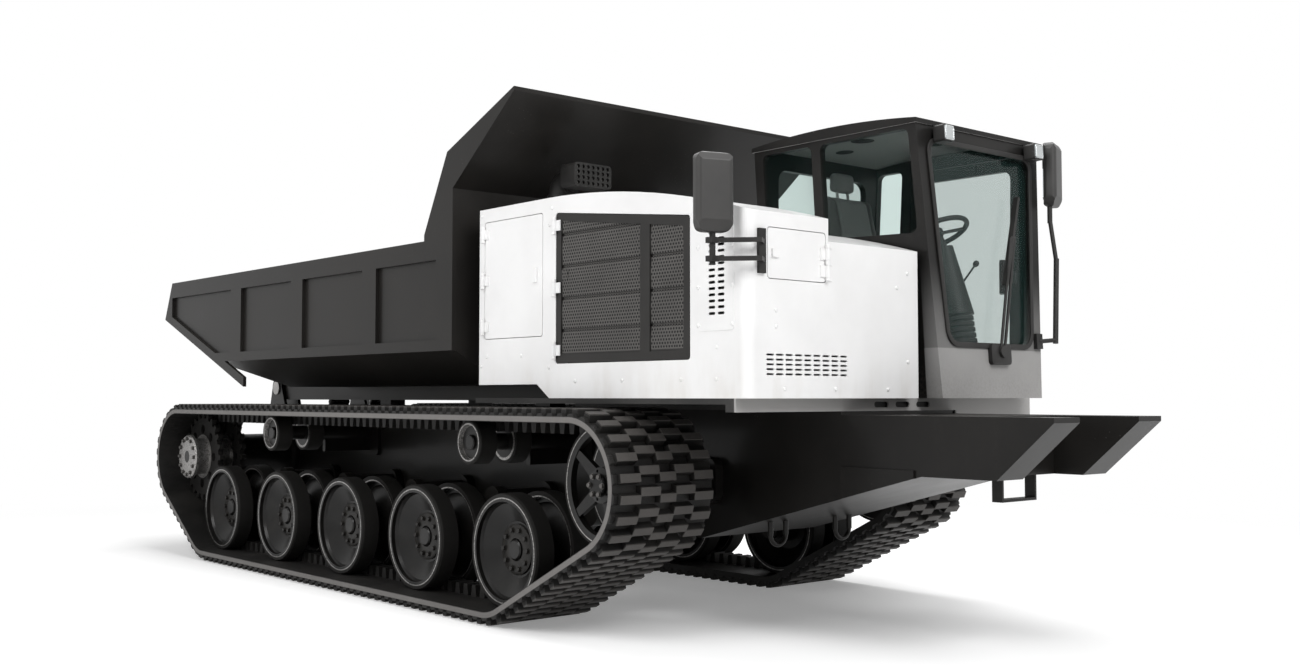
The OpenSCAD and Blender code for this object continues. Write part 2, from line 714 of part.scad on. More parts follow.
function door_outline(d, in) = rounded(concat([[d[0] + in, d[2] + in], [d[1] - in, d[2] + in]],
    [[d[1] - in, hood_line(d[1]) - d[3] - in], [d[0] + in, hood_line(d[0]) - d[3] - in]]), 18);

module front_slots() {
    cols = 9;
    rows = 5;
    for (c = [0:cols - 1], r = [0:rows - 1])
        translate([0, 155 - side_y + c * 68, deck_top + 119 + r * 24])
        front_prism(hood_front - hood_t - 2, hood_front + 1)
        polygon(rounded(rect([-27, -5], [27, 5]), 4.9, 3));
}

module engine_hood() {
    color(white_paint) union() {
        difference() {
            union() {
                hood_volume(0, 0, -side_y, -hood_step_y);
                hood_volume(0, hood_step, -side_y, hood_left);
            }
            hood_volume(hood_t, 0, hood_t - side_y, -hood_step_y - hood_t);
            hood_volume(hood_t, hood_step, hood_t - side_y, hood_left - hood_t);
            for (d = [rear_door, grille, vent_panel])
                side_prism(-side_y - 1, hood_t - side_y + 1) polygon(door_outline(d, 0));
            front_prism(hood_front - hood_t - 1, hood_front + 1)
                polygon(rounded(rect([front_door[0], front_door[2]], [front_door[1], front_door[3]]), 18));
            front_slots();
            side_prism(-side_y - 1, -hood_step_y) polygon([[hood_rear - 1, deck_top - 1],
                [hood_rear - 1, deck_top + skirt_rise], [grille[0] - 180, deck_top + skirt_rise],
                [grille[0] - 60, deck_top - 1]]);
        }
        at_side_hinges(rear_door) hinge_pin();
        at_side_hinges(grille) hinge_pin();
        at_front_hinges() hinge_pin();
    }
}

// Hinges: the door carries a knuckle, the frame a pin between two lugs.
// Local X points from the pin over the door, local Y away from the surface, local Z along the pin.
hinge_out = hinge_r + 7;
knuckle_r = hinge_r + 6;
knuckle_l = 60;
lug_l = 18;
leaf_t = 7;

module hinge_knuckle() {
    h = knuckle_l / 2;
    difference() {
        union() {
            box([door_gap / 2 + 0.5, -hinge_out - 1, -h], [46, leaf_t - hinge_out, h]);
            box([door_gap / 2 + 0.5, -hinge_out - 1, -h], [knuckle_r, 0, h]);
            translate([0, 0, -h]) cylinder(h = knuckle_l, r = knuckle_r);
        }
        translate([0, 0, -h - 1]) cylinder(h = knuckle_l + 2, r = hinge_r + run_gap);
    }
}

module hinge_pin() {
    h = knuckle_l / 2;
    translate([0, 0, -h - lug_l]) cylinder(h = knuckle_l + 2 * lug_l, r = hinge_r);
    for (z = [h + 1, -h - lug_l]) {
        box([-42, -hinge_out - 1, z], [-door_gap / 2, leaf_t - hinge_out, z + lug_l - 1]);
        box([-knuckle_r, -hinge_out - 1, z], [-door_gap / 2, 0, z + lug_l - 1]);
        translate([0, 0, z]) cylinder(h = lug_l - 1, r = knuckle_r);
    }
}

function side_hinge_z(d) = let (low = d[2] + 76, high = hood_line(d[0]) - d[3] - 76) [low, (low + high) / 2, high];
module at_side_hinges(d) {
    for (z = side_hinge_z(d)) translate([d[0], -side_y - hinge_out, z]) rotate([180, 0, 0]) children();
}

module at_front_hinges() {
    for (z = [front_door[2] + 60, front_door[3] - 110])
        translate([hood_front + hinge_out, front_door[1], z]) rotate([0, 0, -90]) children();
}
module rear_service_door() {
    d = rear_door;
    latch_z = (d[2] + hood_top - d[3]) / 2;
    color(white_paint) union() {
        side_prism(-side_y, hood_t - side_y) polygon(door_outline(d, door_gap));
        at_side_hinges(d) hinge_knuckle();
        box([d[1] - 90, -side_y - 14, latch_z - 40], [d[1] - 50, -side_y + 1, latch_z + 40]);
    }
}

module grille_door() {
    d = grille;
    frame_w = 46;
    bar_x = d[1] - 351;
    bay = 182;
    bays = 5;
    slit = 16;
    fold = 80;
    out = 3;
    sheet = 7;
    deep = door_t - 16;
    plate = 62;
    color(charcoal) union() {
        side_prism(-side_y, door_t - side_y) difference() {
            polygon(door_outline(d, door_gap));
            polygon(door_outline(d, door_gap + frame_w));
        }
        side_prism(door_t - side_y - 8, door_t - side_y - 2) polygon(door_outline(d, door_gap + frame_w - 4));
        intersection() {
            side_prism(-side_y, door_t - side_y - 4) polygon(door_outline(d, door_gap + 10));
            union() {
                box([bar_x - 38, -side_y, d[2]], [bar_x + 38, door_t - side_y - 4, hood_top]);
                for (k = [0:bays - 1]) let (z = d[2] + 6 + k * bay)
                    translate([0, -side_y, 0]) front_prism(d[0], d[1]) polygon([
                        [out + 4, z + slit / 2], [out, z + bay - fold], [deep, z + bay - slit / 2],
                        [deep + sheet, z + bay - slit / 2], [out + sheet, z + bay - fold],
                        [out + sheet + 4, z + slit / 2]]);
                for (at = [[d[1] - frame_w - plate, d[2] + frame_w],
                    [d[1] - frame_w - plate, hood_line(d[1]) - d[3] - frame_w - plate],
                    [d[0] + frame_w - 10, d[2] + 7.6 * plate]])
                    box([at.x, -side_y + 1, at.y], [at.x + plate + 10, door_t - side_y - 4, at.y + plate]);
            }
        }
        at_side_hinges(d) hinge_knuckle();
    }
}

module side_vent_panel() {
    d = vent_panel;
    rows = 14;
    lap = 16;
    sheet = 4;
    color(white_paint) side_prism(-side_y - sheet, -side_y) difference() {
        polygon(door_outline(d, -lap));
        for (c = [0, 1], r = [0:rows - 1]) translate([d[0] + 95 + c * 66, d[2] + 70 + r * 31])
            polygon(rounded(rect([-24, -7], [24, 7]), 6.9, 3));
    }
}

module front_service_door() {
    d = front_door;
    latch_z = (d[2] + d[3]) / 2;
    color(white_paint) union() {
        front_prism(hood_front - hood_t, hood_front)
            polygon(rounded(rect([d[0] + door_gap, d[2] + door_gap], [d[1] - door_gap, d[3] - door_gap]), 18));
        at_front_hinges() hinge_knuckle();
        box([hood_front - 1, d[0] + 30, latch_z - 20], [hood_front + 12, d[0] + 80, latch_z + 20]);
    }
}

// Air intake on the hood's rear top: pipe, band clamp, elbow and a perforated head that faces forward

intake_y = -hood_step_y - 85;
module air_intake() {
    head_x = hood_rear + 490;
    head_z = hood_top + 211;
    head = [290, 147];
    pipe_r = 78;
    bend_r = 102;
    pipe_x = head_x - 330;
    bend_z = head_z - bend_r;
    clamp = 13;
    color(charcoal) difference() {
        union() {
            translate([pipe_x, intake_y, hood_top]) cylinder(h = bend_z - hood_top - 8, r = pipe_r);
            translate([pipe_x, intake_y, bend_z - clamp]) cylinder(h = 2 * clamp, r = pipe_r + 8);
            translate([pipe_x + bend_r, intake_y, bend_z]) rotate([90, 0, 0]) rotate([0, 0, 90])
                rotate_extrude(angle = 90) translate([bend_r, 0]) circle(pipe_r);
            rod([pipe_x + bend_r - clamp, intake_y, head_z], [pipe_x + bend_r + clamp, intake_y, head_z], pipe_r + 8);
            rod([pipe_x + bend_r + 8, intake_y, head_z], [head_x - 90, intake_y, head_z], pipe_r - 8);
            translate([0, intake_y, head_z]) front_prism(head_x - 140, head_x)
                polygon(rounded(rect(-head / 2, head / 2), 26));
        }
        for (c = [0:6], r = [0:3])
            translate([head_x - 20, intake_y + (c - 3) * 38, head_z + (r - 1.5) * 33])
            rotate([0, 90, 0]) cylinder(h = 30, r = 12, $fn = 16);
    }
}

// Engine, cooling pack and tank under and behind the hood

module engine() {
    x0 = hood_rear + 373;
    x1 = x0 + 1000;
    y0 = 70 - hood_step_y;
    y1 = hood_left - 220;
    mid_y = (y0 + y1) / 2;
    color(dark_steel) union() {
        box([x0, y0, deck_top + 120], [x1, y1, deck_top + 520]);
        box([x0 + 40, y0 + 110, deck_top + 519], [x1 - 40, y1 - 110, deck_top + 640]);
        for (x = [x0 + 80, x1 - 180], y = [y0 + 20, y1 - 120])
            box([x, y, deck_top], [x + 100, y + 100, deck_top + 121]);
        for (k = [0:5]) rod([x0 + 130 + k * 150, y1 - 1, deck_top + 450], [x0 + 130 + k * 150, y1 + 70, deck_top + 450], 34);
        rod([x0 + 90, y1 + 70, deck_top + 450], [x1 - 80, y1 + 70, deck_top + 450], 46);
        rod([x1 - 1, mid_y, deck_top + 240], [x1 + 70, mid_y, deck_top + 240], 110);
    }
}

fan_x = (grille[0] + grille[1]) / 2 - 3;
fan_z = deck_top + 585;
fan_y = -side_y + 245;
module radiator() {
    x0 = grille[0] + 30;
    x1 = grille[1] - 30;
    y0 = -side_y + 65;
    y1 = y0 + 90;
    top = hood_line(grille[1]) - 100;
    ring_r = 340;
    color(charcoal) union() {
        box([x0, y0, deck_top], [x1, y1, top]);
        translate([fan_x, y1 - 1, fan_z]) rotate([-90, 0, 0]) difference() {
            cylinder(h = 130, r = ring_r + 12);
            translate([0, 0, -1]) cylinder(h = 140, r = ring_r);
        }
        cross_pin(fan_x, fan_z, y1 - 1, fan_y - 40, 70);
        cross_pin(fan_x, fan_z, fan_y - 41, fan_y + 24, 18);
    }
}

module cooling_fan() {
    blades = 7;
    hub_r = 85;
    tip_r = 325;
    color(dark_steel) translate([fan_x, fan_y - 30, fan_z]) rotate([-90, 0, 0]) difference() {
        union() {
            cylinder(h = 60, r = hub_r);
            for (k = [0:blades - 1]) rotate(k * 360 / blades) translate([hub_r - 20, 0, 30]) rotate([28, 0, 0])
                translate([0, -50, -3]) cube([tip_r - hub_r + 10, 100, 6]);
        }
        translate([0, 0, -10]) cylinder(h = 65, r = 18 + run_gap);
    }
}

module tank() {
    x0 = hood_rear + 10;
    x1 = cab_rear - 50;
    y0 = hood_left + 60;
    z1 = deck_top + 720;
    wall = 12;
    color(charcoal) union() {
        difference() {
            side_prism(y0, side_y) polygon(concat([[x0, deck_top], [x1, deck_top]],
                corner([x1, deck_top], [x1, z1], [x0, z1], 70, 6), corner([x1, z1], [x0, z1], [x0, deck_top], 70, 6)));
            box([x0 + wall, y0 + wall, deck_top - 1], [x1 - wall, side_y - wall, z1 - 70]);
        }
        translate([x1 - 220, side_y - 200, z1 - 2]) cylinder(h = 60, r = 60);
    }
}

// Cab: a shell that flares to the roof and leans back at the front, cut for its panes and door

cab_left = cab_right + cab_w;
cab_h = cab_eave - deck_top;
function cab_ring(in, z) = let (k = (z - deck_top) / cab_h)
    [for (p = rect([cab_rear + in, cab_right - cab_flare * k + in],
        [cab_front - cab_lean * k - in, cab_left + cab_flare * k - in])) [p.x, p.y, z]];
module cab_block(in, z0, z1) {
    sides = [for (i = [0:3]) [i, i + 4, (i + 1) % 4 + 4, (i + 1) % 4]];
    polyhedron(concat(cab_ring(in, z0), cab_ring(in, z1)), concat([[0, 1, 2, 3], [7, 6, 5, 4]], sides));
}

sill_z = deck_top + 935;
pane_top = cab_eave - 26;
side_rear_pane = rounded(rect([cab_rear + 70, sill_z], [cab_rear + 469, pane_top]), 40);
pane_post = cab_rear + 537;
side_front_pane = rounded([[pane_post, sill_z], [cab_front - 111, sill_z - 20],
    [cab_front - 141, pane_top], [pane_post, pane_top]], 40);
door_back = cab_rear + 331;
door_cut = [[door_back, deck_top + 70], [cab_front - 126, deck_top + 70],
    [cab_front - 161, cab_eave - 45], [door_back, cab_eave - 45]];
quarter_pane = rounded(rect([cab_rear + 50, sill_z], [door_back - 75, pane_top]), 40);
screen_z = deck_top + 295;
screen_top = cab_eave - 80;
function screen_outline(in) = rounded([[cab_right + 76 + in, screen_z + in], [cab_left - 76 - in, screen_z + in],
    [cab_left + 20 - in, screen_top - in], [cab_right - 20 + in, screen_top - in]], 90);
rear_pane = rounded(rect([cab_right + 60, deck_top + 545], [cab_left - 60, cab_eave - 90]), 70);

module cab_openings(in) {
    mid = cab_right + cab_w / 2;
    side_prism(-300, mid) polygon(side_rear_pane);
    side_prism(-300, mid) polygon(side_front_pane);
    side_prism(mid, side_y + 200) polygon(quarter_pane);
    front_prism(cab_front - 200, cab_front + 100) polygon(screen_outline(in));
    front_prism(cab_rear - 100, cab_rear + 100) polygon(rear_pane);
}

module cab_frame() {
    color(mid_grey) union() {
        difference() {
            cab_block(0, deck_top, cab_eave);
            cab_block(cab_t, deck_top + 40, cab_eave + 40);
            cab_openings(0);
            side_prism(cab_right + cab_w / 2, side_y + 200) polygon(rounded(door_cut, 60));
        }
        at_door_hinges() hinge_pin();
    }
}

// The cab door turns about the flared edge behind it
cab_side_tilt = atan(cab_flare / cab_h);
module at_door_hinges() {
    for (z = [deck_top + 330, cab_eave - 260])
        translate([door_cut[0].x, cab_left + cab_flare * (z - deck_top) / cab_h, z])
        rotate([-cab_side_tilt, 0, 0]) translate([0, hinge_out, 0]) children();
}

module cab_roof() {
    over = 12;
    n = 14;
    x0 = cab_rear - over;
    x1 = cab_front - cab_lean + over;
    edge = 26;
    skin = 16;
    arch = [for (i = [0:n]) let (k = 1 - i / n)
        [x0 + (x1 - x0) * k, cab_eave + edge + (roof_rise - edge) * 4 * k * (1 - k)]];
    color(charcoal) difference() {
        side_prism(cab_right - cab_flare - over, cab_left + cab_flare + over)
            polygon(concat([[x0, cab_eave], [x1, cab_eave]], arch));
        side_prism(cab_right - cab_flare + cab_t, cab_left + cab_flare - cab_t) intersection() {
            translate([0, -skin]) polygon(concat([[x0, cab_eave], [x1, cab_eave]], arch));
            translate([cab_rear + cab_t, cab_eave - skin - 1]) square([x1 - x0 - 2 * (over + cab_t), 2 * roof_rise]);
        }
    }
}

module cab_panes() {
    color(pane_green) intersection() {
        difference() {
            cab_block(18, deck_top + 1, cab_eave);
            cab_block(18 + glass_t, deck_top, cab_eave + 1);
        }
        cab_openings(0.5);
    }
}

function inset_door(in) = rounded([[door_cut[0].x + in, door_cut[0].y + in], [door_cut[1].x - in, door_cut[1].y + in],
    [door_cut[2].x - in, door_cut[2].y - in], [door_cut[3].x + in, door_cut[3].y - in]], 56);
door_post = 80;

module cab_door() {
    color(charcoal) union() {
        intersection() {
            difference() {
                cab_block(0, deck_top + 1, cab_eave);
                cab_block(36, deck_top, cab_eave + 1);
            }
            side_prism(cab_right + cab_w / 2, side_y + 200) difference() {
                polygon(inset_door(door_gap));
                polygon(inset_door(door_post));
            }
        }
        at_door_hinges() hinge_knuckle();
    }
}

module door_pane() {
    color(pane_green) intersection() {
        difference() {
            cab_block(18, deck_top + 1, cab_eave);
            cab_block(18 + glass_t, deck_top, cab_eave + 1);
        }
        side_prism(cab_right + cab_w / 2, side_y + 200) polygon(inset_door(door_post + 0.5));
    }
}

// Driver's place

seat_x = cab_rear + 481;
seat_y = cab_right + cab_w / 2;
floor_z = deck_top + 40;
cushion_z = floor_z + 635;
arm_z = floor_z + 530;

module seat_base() {
    color(charcoal) translate([seat_x, seat_y, 0]) union() {
        box([-190, -180, floor_z], [210, 180, floor_z + 60]);
        box([-130, -130, floor_z + 59], [150, 130, cushion_z - 70]);
        both_sides() box([-220, 120, cushion_z - 71], [230, 160, cushion_z - 40]);
    }
}

module seat() {
    crown = 22;
    w = 250;
    color(charcoal) translate([seat_x, seat_y, 0]) union() {
        intersection() {
            side_prism(-w, w) polygon(rounded([[-230, cushion_z - 39.6], [260, cushion_z - 39.6],
                [285, cushion_z + 60], [0, cushion_z + 60 + crown], [-240, cushion_z + 50]], 36));
            front_prism(-400, 400) polygon(rounded([[-w + 30, cushion_z - 39.6], [w - 30, cushion_z - 39.6],
                [w, cushion_z + 40], [w - 60, cushion_z + 92], [60 - w, cushion_z + 92], [-w, cushion_z + 40]], 28));
        }
        intersection() {
            side_prism(-w, w) polygon(rounded([[-250, cushion_z + 30], [-140, cushion_z + 30],
                [-150, cushion_z + 330], [-215, cushion_z + 610], [-330, cushion_z + 610]], 30));
            front_prism(-400, 400) polygon(rounded([[-w + 20, cushion_z + 20], [w - 20, cushion_z + 20],
                [w, cushion_z + 300], [w - 70, cushion_z + 620], [70 - w, cushion_z + 620], [-w, cushion_z + 300]], 40));
        }
        for (y = [-50, 50]) rod([-272, y, cushion_z + 590], [-282, y, cushion_z + 650], 9);
        side_prism(-105, 105) polygon(rounded([[-322, cushion_z + 624], [-238, cushion_z + 624],
            [-246, cushion_z + 760], [-314, cushion_z + 760]], 32));
    }
}

wheel_hub = [cab_front - 396, seat_y, floor_z + 935];
wheel_tilt = 25;
module console() {
    ribs = 9;
    boot_r = 100;
    foot = [cab_front - 206, seat_y, floor_z];
    column = [wheel_hub.x + 60, seat_y, wheel_hub.z - 85];
    boot = foot + [0, 0, 140];
    shroud = boot + (column - boot) * 0.42;
    color(charcoal) union() {
        box([foot.x - 30, seat_y - 150, floor_z], [foot.x + 110, seat_y + 150, floor_z + 170]);
        for (k = [0:ribs - 1])
            rod(boot + (shroud - boot) * k / ribs, boot + (shroud - boot) * (k + 0.55) / ribs, boot_r);
        tapered_rod(shroud, column, boot_r + 8, 50);
        rod(foot + [0, 0, 120], column, 44);
        translate(wheel_hub) rotate([0, -wheel_tilt, 0]) translate([0, 0, -130]) cylinder(h = 110, r = 34);
        translate(wheel_hub) rotate([0, -wheel_tilt, 0]) translate([0, 0, -21]) cylinder(h = 30, r = 12);
        box([seat_x - 120, seat_y - 350, floor_z], [seat_x + 280, seat_y - 270, arm_z]);
    }
}

module steering_wheel() {
    rim = 15;
    spokes = 3;
    color(charcoal) translate(wheel_hub) rotate([0, -wheel_tilt, 0]) difference() {
        union() {
            rotate_extrude($fn = 64) translate([steer_r, 0]) circle(rim, $fn = 24);
            translate([0, 0, -16]) cylinder(h = 34, r = 46);
            for (k = [0:spokes - 1]) rotate(60 + k * 120) translate([30, -14, -6]) cube([steer_r - 34, 28, 10]);
        }
        translate([0, 0, -20]) cylinder(h = 30, r = 12 + run_gap);
    }
}

lever_foot = [seat_x + 200, seat_y - 310, arm_z + 26.4];
module control_lever() {
    color(charcoal) translate(lever_foot) union() {
        sphere(26);
        rod([0, 0, 0], [30, 0, 170], 9);
        translate([31, 0, 178]) sphere(24);
    }
}

// Wiper on the screen's lower edge; the screen leans back with the cab's front
screen_lean = atan(cab_lean / cab_h);
wiper_z = deck_top + 265;
wiper_pivot = [cab_face(wiper_z), cab_right + 539, wiper_z];
module wiper() {
    l = 690;
    lean = 14;
    color(charcoal) translate(wiper_pivot) rotate([0, -screen_lean, 0]) union() {
        translate([0.4, 0, 0]) rotate([0, 90, 0]) cylinder(h = 48, r = 34);
        for (y = [-18, 18]) rod([34, y, 0], [34, y + l * sin(lean), l * cos(lean)], 9);
        translate([34, l * sin(lean), l * cos(lean)]) rotate([-lean - 4, 0, 0])
            box([-24, -10, -300], [8, 10, 260]);
        rod([34, l * sin(lean) - 22, l * cos(lean)], [34, l * sin(lean) + 22, l * cos(lean)], 9);
    }
}

// Outline of a strip from a round the corner b to c
function across(p, q) = let (u = unit(q - p)) [-u.y, u.x];
function bent_strip(a, b, c, half) =
    let (m = across(a, b), n = across(b, c), k = (m + n) / (1 + m * n))
    [a + m * half, b + k * half, c + n * half, c - n * half, b - k * half, a - m * half];

// Mirrors on bent bars
right_post = [hood_front - 109, -side_y - 130, deck_top + 720];
left_post = [cab_front - 31, cab_left + 160, cab_eave - 440];
mirror_lift = 81;
mirror_post_r = 15;
function cab_face(z) = cab_front - cab_lean * (z - deck_top) / cab_h;
module mirror_arms() {
    pad = [hood_front, 89 - side_y, right_post.z];
    foot_z = deck_top + 335;
    foot = [cab_face(foot_z), cab_left - 20, foot_z];
    knee = foot + [60, 110, 10];
    elbow = [left_post.x + 40, left_post.y, left_post.z - 260];
    spread = 45;
    half = 11;
    clamp = 24;
    reach = bent_strip([pad.x + 14, pad.y], [pad.x + 60, pad.y - 64], [right_post.x, right_post.y], half);
    color(charcoal) union() {
        box([pad.x, pad.y - 24, pad.z - 110], [pad.x + 16, pad.y + 24, pad.z + 110]);
        for (dz = [-spread, spread]) {
            translate([0, 0, pad.z + dz - half]) linear_extrude(2 * half) polygon(reach);
            box(right_post + [-clamp, -clamp, dz - half - 3], right_post + [clamp, clamp, dz + half + 3]);
        }
        rod(right_post - [0, 0, 75], right_post + [0, 0, mirror_lift + 320], mirror_post_r);
    }
    color(charcoal) union() {
        translate(foot) rotate([0, -screen_lean, 0]) box([0.2, -30, -45], [24, 30, 45]);
        rod(foot + [14, 0, 0], knee, mirror_post_r - 2);
        long_rod(knee, elbow, mirror_post_r + 1, 20);
        long_rod(elbow, left_post, mirror_post_r - 2, 3);
        rod(left_post - [0, 0, 20], left_post + [0, 0, mirror_lift + 320], mirror_post_r);
    }
}

module mirror_head(post, dx, dy, turn) {
    w = 200;
    h = 390;
    d = 80;
    difference() {
        translate(post) rotate(turn) translate([dx, dy, 0]) intersection() {
            side_prism(-w / 2, w / 2) polygon(rounded([[-d / 2, 0], [d / 2 - 24, 0], [d / 2, 60],
                [d / 2, h - 40], [d / 2 - 20, h], [-d / 2, h]], 18));
            front_prism(-d, d) polygon(rounded([[-w / 2 + 26, 0], [w / 2 - 26, 0], [w / 2, 60],
                [w / 2, h], [-w / 2, h], [-w / 2, 60]], 44));
            translate([0, 0, -1]) linear_extrude(h + 2) polygon(rounded(rect([-d / 2, -w / 2], [d / 2, w / 2]), 30));
        }
        translate(post - [0, 0, 200]) cylinder(h = 900, r = mirror_post_r + run_gap);
    }
}

module mirror_right() {
    color(charcoal) mirror_head(right_post + [0, 0, mirror_lift], 10, 0, -18);
}

module mirror_left() {
    color(charcoal) mirror_head(left_post + [0, 0, mirror_lift], 10, 45, 20);
}

module work_lights() {
    size = 96;
    z = cab_eave - 54;
    color(charcoal) for (y = [cab_right + 70, cab_left - 10]) translate([cab_face(z), y, z])
        rotate([0, -screen_lean, 0]) union() {
            front_prism(20, 90) polygon(rounded(rect([-size / 2, -size / 2], [size / 2, size / 2]), 14));
            rod([0.2, 0, 0], [21, 0, 0], 16);
        }
}

// Bed: a welded shell with a rising tail, ribs on its sides, a headboard and a canopy over the hood

tail_x = -overall_l / 2;
tail_slope = 20;
half_bed = bed_w / 2;
wall_in = 26;
rail_h = 130;
floor_end = tail_x + (tail_z - bed_floor_z) / tan(tail_slope);
tail_top = tail_x + 149;

function bed_side(in) = [[bed_front - in, bed_floor_z + in], [bed_front - in, rail_z + (in > 0 ? 900 : 0)],
    [tail_top - in * 20, rail_z + (in > 0 ? 900 : 0)], [tail_x - in * 20, tail_z + in - in * 20 * tan(-tail_slope)],
    [floor_end + in * 0.5, bed_floor_z + in]];
function bed_section(in) = let (w = half_bed - wall_in - in, f = bed_flat_w / 2 - in * 0.4)
    [[-w, rail_z + in], [-w, side_low_z + in * 0.6], [-f, bed_floor_z + in], [f, bed_floor_z + in],
        [w, side_low_z + in * 0.6], [w, rail_z + in]];

// Ribs divide each side into four panels
rib_xs = [bed_front - 3199, bed_front - 2130, bed_front - 1045];
rib_w = 190;

module bed_shell() {
    difference() {
        intersection() {
            side_prism(-half_bed, half_bed) polygon(bed_side(0));
            front_prism(tail_x - 10, bed_front + 10) polygon(bed_section(0));
        }
        intersection() {
            side_prism(-half_bed, half_bed) polygon(bed_side(bed_t));
            front_prism(tail_x - 500, bed_front + 10) polygon(bed_section(bed_t));
        }
    }
}

// Top rail, lower flange and upright ribs stand proud of the side wall
module bed_frame() {
    w = half_bed - wall_in;
    intersection() {
        side_prism(w - bed_t, half_bed) polygon(bed_side(0));
        union() {
            box([tail_x, w - tiny, rail_z - rail_h], [bed_front, half_bed, rail_z]);
            box([tail_x, w - tiny, side_low_z], [bed_front, half_bed, side_low_z + 70]);
            for (x = concat([tail_x + 60, bed_front - rib_w / 2], rib_xs))
                box([x - rib_w / 2, w - tiny, side_low_z], [x + rib_w / 2, half_bed, rail_z]);
            side_prism(w - tiny, half_bed) polygon([[tail_x, tail_z], [floor_end, bed_floor_z],
                [floor_end, bed_floor_z + 75], [tail_x, tail_z + 75]]);
        }
    }
}

head_bend = rail_z + 304;
gusset_back = [bed_front - 334, bed_front - 68];
module headboard() {
    t = 22;
    w = half_bed - tiny;
    side_prism(-w, w) polygon([[bed_front - t, rail_z - 200], [bed_front, rail_z - 200], [bed_front, head_bend],
        [peak_x, peak_z - 26], [peak_x, peak_z], [bed_front - t, head_bend + 9]]);
    both_sides() side_prism(half_bed - 24, half_bed) polygon([[gusset_back[0], rail_z - 60], [bed_front, rail_z - 60],
        [bed_front, head_bend], [peak_x, peak_z - 20], [peak_x, peak_z], [gusset_back[1], peak_z - 290],
        [gusset_back[0], rail_z + 40]]);
}

module bed_beams() {
    both_sides() difference() {
        union() {
            side_prism(beam_y0, beam_y1) polygon([[bed_front - 60, bed_floor_z + 2], [bed_front - 60, hull_top + rest_h],
                [tip_x, hull_top + rest_h], [tip_x, tip_z + 100], [floor_end - 900, bed_floor_z + 900 * tan(tail_slope) + 4],
                [floor_end, bed_floor_z + 4]]);
            cross_pin(tip_x, tip_z, beam_y0, beam_y1, 100);
        }
        cross_pin(tip_x, tip_z, beam_y0 - 1, beam_y1 + 1, tip_pin_r + run_gap);
    }
}

module hoist_ears() {
    rise = bed_floor_z + (floor_end - hoist_top.x) * tan(tail_slope);
    both_sides() for (y = [hoist_y - eye_w / 2 - cheek_gap - cheek_t, hoist_y + eye_w / 2 + cheek_gap]) union() {
        side_prism(y, y + cheek_t) polygon([[hoist_top.x - 150, rise + 60], [hoist_top.x - 55, hoist_top.y - 40],
            [hoist_top.x + 55, hoist_top.y - 40], [hoist_top.x + 150, rise - 50]]);
    }
    both_sides() cross_pin(hoist_top.x, hoist_top.y, hoist_y - eye_w / 2 - cheek_gap - 1,
        hoist_y + eye_w / 2 + cheek_gap + 1, hoist_pin_r);
}

module dump_bed() {
    color(charcoal) union() {
        bed_shell();
        both_sides() bed_frame();
        headboard();
        bed_beams();
        hoist_ears();
    }
}

module pivot_pins() {
    color(dark_steel) both_sides() union() {
        cross_pin(tip_x, tip_z, beam_y0 - cheek_gap - lug_t, half_hull, tip_pin_r);
        cross_pin(tip_x, tip_z, half_hull, half_hull + 12, tip_pin_r + 15);
    }
    color(dark_steel) both_sides() cross_pin(hoist_base.x, hoist_base.y,
        hoist_y - eye_w / 2 - cheek_gap - cheek_t, hoist_y + eye_w / 2 + cheek_gap + cheek_t, hoist_pin_r);
}

// Hoist cylinders between the hull and the bed; local Z runs from the base pin to the bed pin
eye_back = 70;
barrel_end = hoist_l - eye_back - 6;
rod_start = 82;
module on_hoist() {
    both_sides() translate([hoist_base.x, hoist_y, hoist_base.y])
        rotate([0, 90 - atan2(hoist_dir.y, hoist_dir.x), 0]) children();
}

module hoist_barrels() {
    color(dark_steel) on_hoist() difference() {
        union() {
            rotate([90, 0, 0]) cylinder(h = eye_w, r = 66, center = true);
            box([-55, -eye_w / 2, 0], [55, eye_w / 2, 110]);
            translate([0, 0, 105]) cylinder(h = barrel_end - 105, r = barrel_r);
            translate([0, 0, barrel_end - 50]) cylinder(h = 50, r = barrel_r + 8);
        }
        rotate([90, 0, 0]) cylinder(h = eye_w + 2, r = hoist_pin_r + run_gap, center = true);
        translate([0, 0, rod_start - 2]) cylinder(h = barrel_end, r = rod_r + run_gap);
    }
}

module hoist_rods() {
    bore = hoist_pin_r + 1;
    color(light_grey) on_hoist() difference() {
        union() {
            translate([0, 0, rod_start]) cylinder(h = hoist_l - rod_start - 60, r = rod_r);
            box([-60, -eye_w / 2, hoist_l - eye_back], [60, eye_w / 2, hoist_l + 80]);
        }
        for (d = [-eye_slack, eye_slack]) translate([0, 0, hoist_l + d]) rotate([90, 0, 0])
            cylinder(h = eye_w + 2, r = bore, center = true);
        translate([-bore, -eye_w / 2 - 1, hoist_l - eye_slack]) cube([2 * bore, eye_w + 2, 2 * eye_slack]);
    }
}

track_band(-1);  // track_band_right
track_band(1);  // track_band_left
road_wheel(-1, 1);  // road_wheel_right_1
road_wheel(-1, 2);  // road_wheel_right_2
road_wheel(-1, 3);  // road_wheel_right_3
road_wheel(-1, 4);  // road_wheel_right_4
road_wheel(-1, 5);  // road_wheel_right_5
road_wheel(1, 1);  // road_wheel_left_1
road_wheel(1, 2);  // road_wheel_left_2
road_wheel(1, 3);  // road_wheel_left_3
road_wheel(1, 4);  // road_wheel_left_4
road_wheel(1, 5);  // road_wheel_left_5
sprocket(-1);  // sprocket_right
sprocket(1);  // sprocket_left
idler(-1);  // idler_right
idler(1);  // idler_left
carrier_roller(-1, rear_roller_x);  // rear_roller_right
carrier_roller(1, rear_roller_x);  // rear_roller_left
carrier_roller(-1, front_roller_x);  // front_roller_right
carrier_roller(1, front_roller_x);  // front_roller_left
final_drives();
suspension_arms();
idler_yokes();
roller_brackets();
hull_tub();
front_prongs();
stirrup_step();
